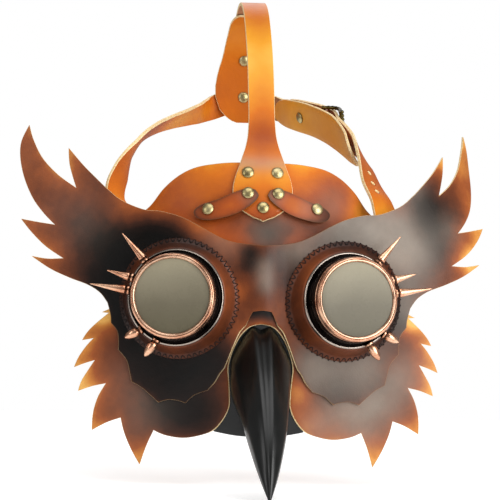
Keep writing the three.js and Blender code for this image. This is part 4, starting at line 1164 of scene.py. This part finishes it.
HEAD_ROUTE = head_route()
CROWN_ROUTE = head_route((-1, 0, 0))     # the same way, with its outer face away from the head
LEFT_ROUTE = side_route(-TEMPLE_X, [
    ((-96.3, 37, 66), (-0.68, -0.5, 0.54)),
    ((-92, 50, 81), (-0.45, -0.7, 0.54)),
    ((-84, 66, 96.5), (0.1, -0.85, 0.45)),
    ((-74, 87, 109), (0.35, -0.8, 0.45)),
    ((-62.5, 108, 116.5), (0.4, -0.75, 0.5)),
    ((-49, 131, 122.5), (0.4, -0.65, 0.6)),
    ((-36, 157, 128), (0.3, -0.5, 0.8)),
    ((-25, 188.5, 133.5), (0.1, -0.2, 1)),
    ((-8, 190.7, 140), (0, 0, 1)),
    ((8, 190.7, 141.5), (0, 0, 1)),
])
RIGHT_ROUTE = side_route(TEMPLE_X - 6, [
    ((81.5, 30, 63), (-0.85, -0.5, 0.1)),
    ((76.5, 44, 76), (-0.8, -0.55, 0.25)),
    ((73.5, 62, 92), (-0.6, -0.6, 0.55)),
    ((69.5, 84, 104.5), (-0.25, -0.5, 0.83)),
    ((61.5, 108, 116), (-0.1, -0.42, 0.9)),
    ((50, 131, 124.5), (-0.16, -0.38, 0.91)),
    ((38, 157, 130), (-0.18, -0.3, 0.93)),
    ((27, 189, 134.5), (-0.1, -0.15, 1)),
    ((9, 193.5, 140), (0, 0, 1)),
    ((-8, 193.5, 141), (0, 0, 1)),
])


# A strap edge's section from front to back: share of half the thickness, and how far it bulges.
STRAP_EDGE = ((0.72, 0.25), (0.3, 0.36), (0.06, 0.3), (0, 0.12), (-0.06, 0.3), (-0.3, 0.36), (-0.72, 0.25))
EDGE_INSET = 0.36


def strap_section(half, thick, tooled):
    """One turn round a strap's section: across, outward, material and distance from the edge.

    tooled is the strength of the line pressed along its edges, or None where there is none.
    """
    top, rows = thick / 2, []
    inner = half - 0.35
    line = min(2.3, 0.4 * half)
    marks = [-inner, -inner * 0.5 - half * 0.5 + line * 0.3]
    if tooled is not None:
        marks += [-half + line - 0.4, -half + line, -half + line + 0.4]
    rest = np.linspace(marks[-1], -marks[-1], 9)[1:-1].tolist()
    marks += rest + [-m for m in marks[::-1]]
    for u in marks:
        groove = 0.3 * tooled if tooled and abs(half - abs(u) - line) < 0.05 else 0
        rows.append((u, top - groove, 0, half - abs(u)))
    for share, bulge in STRAP_EDGE:
        rows.append((half - EDGE_INSET + bulge, top * share, 1, 0))
    for u in np.linspace(inner, -inner, 6):
        rows.append((u, -top, 2, half - abs(u)))
    for share, bulge in STRAP_EDGE[::-1]:
        rows.append((-half + EDGE_INSET - bulge, top * share, 1, 0))
    return rows


def ribbon(name, route, thick, pieces, start=0.0, end=1.0, *, dye, lift=None, half=None, tooled=None,
           painted_sheen=None, materials=(STRAP, CUT, FLESH), form=None):
    """A leather strap along part of a route, with rounded two-layer edges.

    lift and half give its height above the route and its half width at t, dye its tone, the sheen argument
    its grey patches of painted sheen, and form a last bend of all its points. tooled is the length over which
    the line along its edges stays sharp.
    """
    edges, tones, painted_sheens, rows = [], [], [], []
    travelled, previous = 0.0, None
    for t in np.linspace(start, end, pieces + 1):
        at, wide, _, out, own_half = route.frame(t)
        travelled += 0 if previous is None else float(np.linalg.norm(at - previous))
        previous = at
        reach = half(t) if half else own_half
        raise_by = lift(t) if lift else 0.0
        depth = None if tooled is None else float(smooth(tooled + 6, tooled, travelled))
        section = strap_section(reach, thick, depth)
        rows.append([at + wide * u + out * (v + raise_by) for u, v, _, _ in section])
        edges.append([e for *_, e in section])
        tones.append([dye(u, travelled) for u, *_ in section])
        painted_sheens.append([painted_sheen(travelled) if painted_sheen else 0.0] * len(section))
        kinds = [kind for _, _, kind, _ in section]
    size = len(kinds)
    faces = ring_faces(pieces + 1, size) + end_caps(pieces + 1, size)
    turn_slots = [a if a == b else 1 for a, b in zip(kinds, kinds[1:] + kinds[:1])]
    face_slots = turn_slots * pieces + [1, 1]
    points = np.array(rows).reshape(-1, 3)
    if form:
        points = form(points)
    attributes = {"edge": np.concatenate(edges), "dye": np.concatenate(tones), "painted_sheen": np.concatenate(painted_sheens)}
    return make_piece(name, points, faces, materials, face_slots, attributes, 50)


def form_to_forehead(points):
    """The head strap's lower end is formed to the curve of the forehead; the bend fades out above it."""
    x, y, z = points.T
    formed_z, free_z, rear_y = 88, 112, 60
    wrap = plain_forehead(x, 75.0) - plain_forehead(0, 75.0)
    shift = np.where(y > rear_y, 0, wrap * (1 - smooth(formed_z, free_z, z)))
    return np.column_stack([x, y + shift, z])


def head_half(t):
    """Smooth half width of the head strap."""
    place = t * HEAD_ROUTE.last
    halves = HEAD_ROUTE.half
    index = min(int(place), HEAD_ROUTE.last - 1)
    before, after = halves[max(index - 1, 0)], halves[min(index + 2, HEAD_ROUTE.last)]
    here, following = halves[index], halves[index + 1]
    return max(0.5, hermite(here, following, (following - before) / 2, (after - here) / 2, place - index))


HEAD_TONES = [(122, 34, 0.24), (34, 10, 0.1), (62, 14, -0.15), (0, 12, -0.22)]


def head_dye(u, along):
    """The head strap's tone, with lighter and darker lengths (place, length, strength) along it."""
    tone = 0.6 - 0.03 * math.cos(u / 4)
    for place, length, strength in HEAD_TONES:
        tone += strength * math.exp(-((along - place) / length) ** 2)
    return tone


def strap_dye(u, along):
    return 0.6 + 0.12 * math.sin(along / 27 + 1.2) + 0.05 * math.sin(along / 11) - 0.02 * abs(u) / 4


def patch_dye(u, along):
    return 0.58 + 0.05 * math.sin(along / 14)


def pad_dye(u, along):
    return 0.76 + 0.04 * math.sin(along / 16 + 2)


# Painted sheen: a grey patch of reflected light across the head strap, 40 mm along it.
def crown_painted_sheen(along):
    return 0.42 * math.exp(-((along - 40) / 6) ** 2)


# Painted sheen: a faint, slightly varying grey cast of reflected light over the buckle pad.
def pad_painted_sheen(along):
    return 0.12 + 0.04 * math.sin(along / 9)


def build_head_strap():
    end = (HEAD_STRAP_STATIONS - 1) / HEAD_ROUTE.last
    strap = ribbon("head_strap_leather", CROWN_ROUTE, STRAP_LEATHER, 190, 0, end, half=head_half, tooled=14,
                   dye=head_dye, painted_sheen=crown_painted_sheen, form=form_to_forehead)
    declare(strap, "mask", "strap_leather", "head_strap")


TAB_LAYER = STRAP_LEATHER + 2 * GAP + LEATHER


def build_tabs():
    for side, label in ((-1, "left"), (1, "right")):
        loop = outline(TAB_RIGHT, 8) * [side, 1]
        tab = cut_panel(f"brow_tab_leather_{label}", [loop], plain_forehead, -TAB_LAYER, LEATHER,
                        (TAB_DYE, TAB_PAINTED_SHEEN, TAB_EDGE_SHADE), [FOREHEAD, CUT, FLESH], 1.6)
        declare(tab, "mask", "forehead_leather", f"brow_tab_{label}")


# ---- Rivets ----
def rivet_profile(grip):
    """A domed head, a shank through the stack of leather, and a washer behind it."""
    base = -grip - GAP * 2
    r, shank, height = RIVET_RADIUS, 1.4, 1.7
    washer = [(0, base - 0.9, 0.2), (2.6, base - 0.85, 0.2), (3.4, base - 0.5, 0.4), (3.5, base, 0.6)]
    stem = [(shank, base, 0.6), (shank, 0.0, 0.6)]
    rim = [(r - 0.25, 0.0, 0.9), (r, 0.15, 0.7), (r, 0.4, 0.3), (r - 0.25, 0.62, 0.1)]
    dome = [(r * 0.82, 0.98, 0.0), (r * 0.6, 1.35, 0.0), (r * 0.35, 1.6, 0.0), (r * 0.12, height, 0.0),
            (0, height, 0.0)]
    return np.array(washer + stem + rim + dome)


def build_rivet(name, at, normal, grip, seat=GAP):
    normal = unit(normal)
    matrix = aimed(np.asarray(at, float) + normal * seat, normal)
    rivet = turned(f"{name}_brass", rivet_profile(grip + seat - GAP), matrix, BRASS, 40)
    declare(rivet, "mask", "antique_brass", name)


def build_brow_rivets():
    for name, (x, z) in RIVETS.items():
        on_tab = "inner" in name or "outer" in name
        front = TAB_LAYER if on_tab else STRAP_LEATHER + GAP
        step = 0.5
        slope_x = float(plain_forehead(x + step, z) - plain_forehead(x - step, z))
        slope_z = float(plain_forehead(x, z + step) - plain_forehead(x, z - step))
        normal = unit([slope_x, -1, slope_z])
        at = np.array([x, float(plain_forehead(x, z)), z]) + normal * front
        build_rivet(name, at, normal, front + LEATHER)


# ---- Rear patch ----
PATCH_LIFT = STRAP_LEATHER / 2 + 2.5 * GAP + LEATHER / 2
SIDE_STACK = 3.9                 # the side straps' ends that the lower rivet also holds
PATCH_FROM = 0.775
REAR_UPPER, REAR_LOWER = 0.868, 0.955
PATCH_HALF = [10, 12.5, 13.6, 15, 16.6, 18.4, 20, 21, 20.8, 17.5, 9]


def patch_half(t):
    place = ((t - PATCH_FROM) / (1 - PATCH_FROM)) * (len(PATCH_HALF) - 1)
    width = float(np.interp(place, range(len(PATCH_HALF)), PATCH_HALF))
    top = math.sqrt(max(0.0, 1 - (1 - min(1, place / 0.8)) ** 2))
    bottom = math.sqrt(max(0.0, 1 - (1 - min(1, (len(PATCH_HALF) - 1 - place) / 0.6)) ** 2))
    return max(1.5, width * (0.7 + 0.3 * top) * (0.55 + 0.45 * bottom))


def build_rear_patch():
    patch = ribbon("rear_patch_leather", HEAD_ROUTE, LEATHER, 70, PATCH_FROM, 1, lift=lambda t: PATCH_LIFT,
                   half=patch_half, dye=patch_dye)
    declare(patch, "mask", "strap_leather", "rear_patch")
    reach = PATCH_LIFT + LEATHER / 2 + STRAP_LEATHER / 2
    for name, t, grip, seat in (("rivet_rear_upper", REAR_UPPER, reach, 2 * GAP),
                                ("rivet_rear_lower", REAR_LOWER, reach + SIDE_STACK, GAP)):
        at, _, _, out, _ = HEAD_ROUTE.frame(t)
        build_rivet(name, at + out * (PATCH_LIFT + LEATHER / 2), out, grip, seat)


# ---- Side straps and buckle ----
BAR_T = 0.615
PAD_RIVET_T = 0.69
PAD_FROM, PAD_TO, PAD_HALF = 0.385, 0.82, 13
FOLD_BORE, FOLD_RADIUS = 2.1, 3.6
FRAME_LENGTH, FRAME_HALF, FRAME_INNER, FRAME_SIDE, FRAME_ARCH = 20, 12.2, 9.5, 3.2, 4.5
TIP_LIFT = 3.3
PAD_LIFT = -(FOLD_RADIUS + GAP + LEATHER / 2 + 0.2)
TAIL_LIFT, OVER_BAR = 4.6, 5.6
BAR_HALF = 1.2
PRONG_EYE = 2.55
SLOT_HALF = 1.7
SLOT_SPAN, SLOT_DEPTH = (1.6, 13.5), (-3, 9)    # along the strap from the bar, and through it
BILLET_TO = 0.835
BILLET_HOLES = [0.235, 0.275, 0.315]
HOLE_RADIUS, HOLE_DEPTH = 1.8, 8


def buckle_frame():
    at, _, along, out, _ = RIGHT_ROUTE.frame(BAR_T)
    return basis(at, -along, np.cross(out, -along), out)


def billet_lift(t):
    rise = float(smooth(BAR_T - 0.076, BAR_T - 0.012, t))
    settle = float(smooth(BAR_T + 0.02, BAR_T + 0.09, t))
    return OVER_BAR * rise - (OVER_BAR - TAIL_LIFT) * settle


def pad_half(t):
    place = (t - PAD_FROM) / (PAD_TO - PAD_FROM)
    ends = math.sqrt(max(0.02, 1 - abs(2 * place - 1) ** 5))
    return PAD_HALF * ends * (1 - 0.12 * place)


def billet_half(t):
    """The billet tapers to a point at its tip."""
    return STRAP_HALF * min(1.0, 0.12 + 0.88 * math.sqrt(max(0.0, min(1.0, (BILLET_TO - t) / 0.05))))


def cut_with(piece, cutters):
    """Cuts the cutters out of a piece and removes them."""
    for cutter in cutters:
        modifier = piece.modifiers.new("cut", "BOOLEAN")
        modifier.object = cutter
        modifier.operation = "DIFFERENCE"
        modifier.solver = "EXACT"
    bpy.context.view_layer.update()
    evaluated = piece.evaluated_get(bpy.context.evaluated_depsgraph_get())
    mesh = bpy.data.meshes.new_from_object(evaluated)
    piece.modifiers.clear()
    piece.data = mesh
    for cutter in cutters:
        bpy.data.objects.remove(cutter)


def hole_cutter(at, normal):
    """A rod through a strap where it has a buckle hole."""
    half = HOLE_DEPTH / 2
    profile = [(0, -half, 0), (HOLE_RADIUS, -half, 0), (HOLE_RADIUS, half, 0), (0, half, 0)]
    return turned("cutter", profile, aimed(at, normal), CUT, 24)


def slot_cutter():
    """A block through the billet strap where the prong passes."""
    (near, far), (low, high) = SLOT_SPAN, SLOT_DEPTH
    square = [(near, -SLOT_HALF), (far, -SLOT_HALF), (far, SLOT_HALF), (near, SLOT_HALF)]
    corners = np.array([(x, y, z) for z in (low, high) for x, y in square], float)
    faces = [(3, 2, 1, 0), (4, 5, 6, 7)] + [(i, (i + 1) % 4, 4 + (i + 1) % 4, 4 + i) for i in range(4)]
    return make_piece("cutter", placed(corners, buckle_frame()), faces, [CUT])


def build_side_straps():
    left = ribbon("side_strap_leather_left", LEFT_ROUTE, STRAP_LEATHER, 130, dye=strap_dye)
    declare(left, "mask", "strap_leather", "side_strap_left")

    billet = ribbon("billet_strap_leather", RIGHT_ROUTE, STRAP_LEATHER, 150, 0, BILLET_TO, lift=billet_lift,
                    half=billet_half, dye=strap_dye)
    cutters = []
    for t in BILLET_HOLES:
        at, _, _, out, _ = RIGHT_ROUTE.frame(t)
        cutters.append(hole_cutter(at, out))
    cut_with(billet, [*cutters, slot_cutter()])
    declare(billet, "mask", "strap_leather", "billet_strap")

    pad = ribbon("buckle_pad_leather", RIGHT_ROUTE, LEATHER, 80, PAD_FROM, PAD_TO, lift=lambda t: PAD_LIFT,
                 half=pad_half, dye=pad_dye, painted_sheen=pad_painted_sheen, materials=(STRAP, CUT, STRAP))
    declare(pad, "mask", "strap_leather", "buckle_pad")
    at, _, _, out, _ = RIGHT_ROUTE.frame(PAD_RIVET_T)
    build_rivet("rivet_buckle_pad", at - out * (-PAD_LIFT + LEATHER / 2), -out,
                LEATHER / 2 - PAD_LIFT + STRAP_LEATHER / 2)
    build_chape()


def build_chape():
    """The short strap that is folded round the buckle's bar, with a slot for the prong."""
    chape = ribbon("chape_strap_leather", RIGHT_ROUTE, STRAP_LEATHER, 60, BAR_T + 0.016, 1, dye=strap_dye)
    matrix = buckle_frame()
    folds = []
    for low, high in ((-STRAP_HALF, -SLOT_HALF - 0.3), (SLOT_HALF + 0.3, STRAP_HALF)):
        profile = [(FOLD_BORE, low, 0), (FOLD_RADIUS, low, 0), (FOLD_RADIUS, high, 0), (FOLD_BORE, high, 0)]
        points, faces, _ = lathe(bevelled(profile, 0.3), 40)
        points = points[:, [0, 2, 1]] * [1, 1, -1]
        folds.append((placed(points, matrix), faces))
    points, faces = joined(folds)
    attributes = {"dye": np.full(len(points), 0.5), "edge": np.full(len(points), UNWORN)}
    fold = make_piece("chape_fold_leather", points, faces, [STRAP], attributes=attributes)
    declare(chape, "mask", "strap_leather", "chape_strap")
    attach(fold, "mask")


def frame_rise(x):
    place = min(1.0, max(0.0, x / (FRAME_LENGTH - FRAME_SIDE)))
    return TIP_LIFT * place + FRAME_ARCH * math.sin(math.pi * place)


def build_buckle():
    """An arched cast frame with a beaded rim, and a prong whose eye turns on its bar."""
    matrix = buckle_frame()
    far = FRAME_LENGTH - FRAME_SIDE / 2
    middle_half = (FRAME_HALF + FRAME_INNER) / 2
    side = np.linspace(0, 1, 16)
    path = [(far * x, middle_half) for x in side]
    path += [(far, middle_half * (1 - 2 * y)) for y in side[1:]]
    path += [(far * (1 - x), -middle_half) for x in side[1:]]
    path = np.array([(x, y, frame_rise(x - BAR_HALF)) for x, y in path])
    rim = 1.35 + 0.16 * np.cos(np.arange(len(path)) * math.pi)
    rim[:3] = rim[-3:] = BAR_HALF
    bar = np.array([(0, y, 0) for y in np.linspace(-middle_half, middle_half, 8)])
    parts = [tube(path, rim, 14), tube(bar, 1.15, 14)]
    bead, bead_faces, _ = lathe([(0, -1.5, 0), (1.1, -1.0, 0), (1.5, 0, 0), (1.1, 1.0, 0), (0, 1.5, 0)], 14)
    parts += [(bead + [far, y, frame_rise(far) + 1.0], bead_faces)
              for y in np.linspace(-middle_half, middle_half, 9)]
    points, faces = joined(parts)
    patina = 0.5 + 0.4 * np.sin(points[:, 1] * 2.4)
    cast = make_piece("buckle_frame_brass", placed(points, matrix), faces, [OLD_BRASS],
                      attributes={"patina": patina}, angle=50)
    declare(cast, "buckle_frame", "antique_brass", "buckle_frame")

    turns = np.linspace(-0.3, 2 * math.pi - 1.4, 26)
    eye = [(PRONG_EYE * math.cos(a), 0, PRONG_EYE * math.sin(a)) for a in turns]
    arm = spline([(2.2, 0, 1.6), (7.5, 0, 4.4), (13.5, 0, 6.1), (FRAME_LENGTH + 2.3, 0, 5.7)], 8)
    parts = [tube(eye, 0.6, 10), tube(arm, np.linspace(1.1, 0.75, len(arm)), 12)]
    points, faces = joined(parts)
    prong = make_piece("buckle_prong_brass", placed(points, matrix), faces, [OLD_BRASS],
                       attributes={"patina": np.full(len(points), 0.2)}, angle=50)
    declare(prong, "buckle_prong", "antique_brass", "buckle_prong")


# ---- Studio ----
def build_floor():
    """White paper just below the mask."""
    sides = 96
    low = cad_box[0][2] / MM - 0.4
    points = [(x, y, low) for x, y in circle(600, sides, 0, 60)]
    s = Shader("studio_floor", Roughness=0.9)
    s.bsdf.inputs["Emission Strength"].default_value = 0.4
    s.bsdf.inputs["Emission Color"].default_value = (1, 1, 1, 1)
    paper = s.ramp(s.noise(3, 2), [(0.3, "#f8f8f8"), (0.7, "#ffffff")])
    floor = make_piece("studio_floor", points, [tuple(range(sides))], [s.use(Base_Color=paper)])


def area_light(name, azimuth, elevation, distance, size, watts):
    """A white light that faces the origin from an azimuth and an elevation in degrees."""
    data = bpy.data.lights.new(name, "AREA")
    data.shape = "RECTANGLE"
    data.size, data.size_y = size
    data.energy = watts
    lamp = bpy.data.objects.new(name, data)
    a, e = math.radians(azimuth), math.radians(elevation)
    away = Vector((math.sin(a) * math.cos(e), -math.cos(a) * math.cos(e), math.sin(e)))
    lamp.location = away * distance
    lamp.rotation_mode = "QUATERNION"
    lamp.rotation_quaternion = (-away).to_track_quat("-Z", "Y")
    bpy.context.scene.collection.objects.link(lamp)


def build_studio():
    """A white room that is brighter to the camera than to the mask, and four lights."""
    world = bpy.data.worlds.new("studio")
    world.use_nodes = True
    tree = world.node_tree
    shade = tree.nodes["Background"]
    path = tree.nodes.new("ShaderNodeLightPath")
    strength = tree.nodes.new("ShaderNodeMapRange")
    strength.inputs["To Min"].default_value = 0.26
    strength.inputs["To Max"].default_value = 1.0
    tree.links.new(path.outputs["Is Camera Ray"], strength.inputs["Value"])
    tree.links.new(strength.outputs[0], shade.inputs["Strength"])
    shade.inputs["Color"].default_value = (1, 1, 1, 1)
    bpy.context.scene.world = world
    bpy.context.scene.view_settings.view_transform = "Standard"
    area_light("key_right", 42, 12, 1.7, (1.2, 1.3), 26)
    area_light("top", 10, 68, 1.8, (1.6, 1.2), 15)
    area_light("front_left", -58, 20, 1.8, (0.5, 1.0), 5)
    area_light("back", 180, 40, 1.8, (1.6, 1.0), 8)


def build_camera():
    """A long lens, level with the mask and a little to its left, rolled slightly."""
    data = bpy.data.cameras.new("camera")
    data.lens = 155.1
    data.sensor_width = 36
    camera = bpy.data.objects.new("camera", data)
    azimuth, roll, distance = math.radians(-4.9), math.radians(1.2), 1.4
    target = Vector((-8.8, 0, 30.5)) * MM
    away = Vector((math.sin(azimuth), -math.cos(azimuth), 0))
    camera.location = target + away * distance
    camera.rotation_mode = "QUATERNION"
    level = (-away).to_track_quat("-Z", "Y")
    camera.rotation_quaternion = level @ Quaternion((0, 0, 1), roll)
    bpy.context.scene.collection.objects.link(camera)
    bpy.context.scene.camera = camera


def finish_frame_nodes():
    """The gaskets stay as the CAD has them, in rubber."""
    for eye in ("left", "right"):
        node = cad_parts[f"gasket_{eye}"]
        node.data.materials.clear()
        node.data.materials.append(RUBBER)


build_camera()
build_panels()
build_goggle(-1, "left")
build_goggle(1, "right")
build_beak()
build_head_strap()
build_tabs()
build_brow_rivets()
build_rear_patch()
build_side_straps()
build_buckle()
finish_frame_nodes()
build_floor()
build_studio()
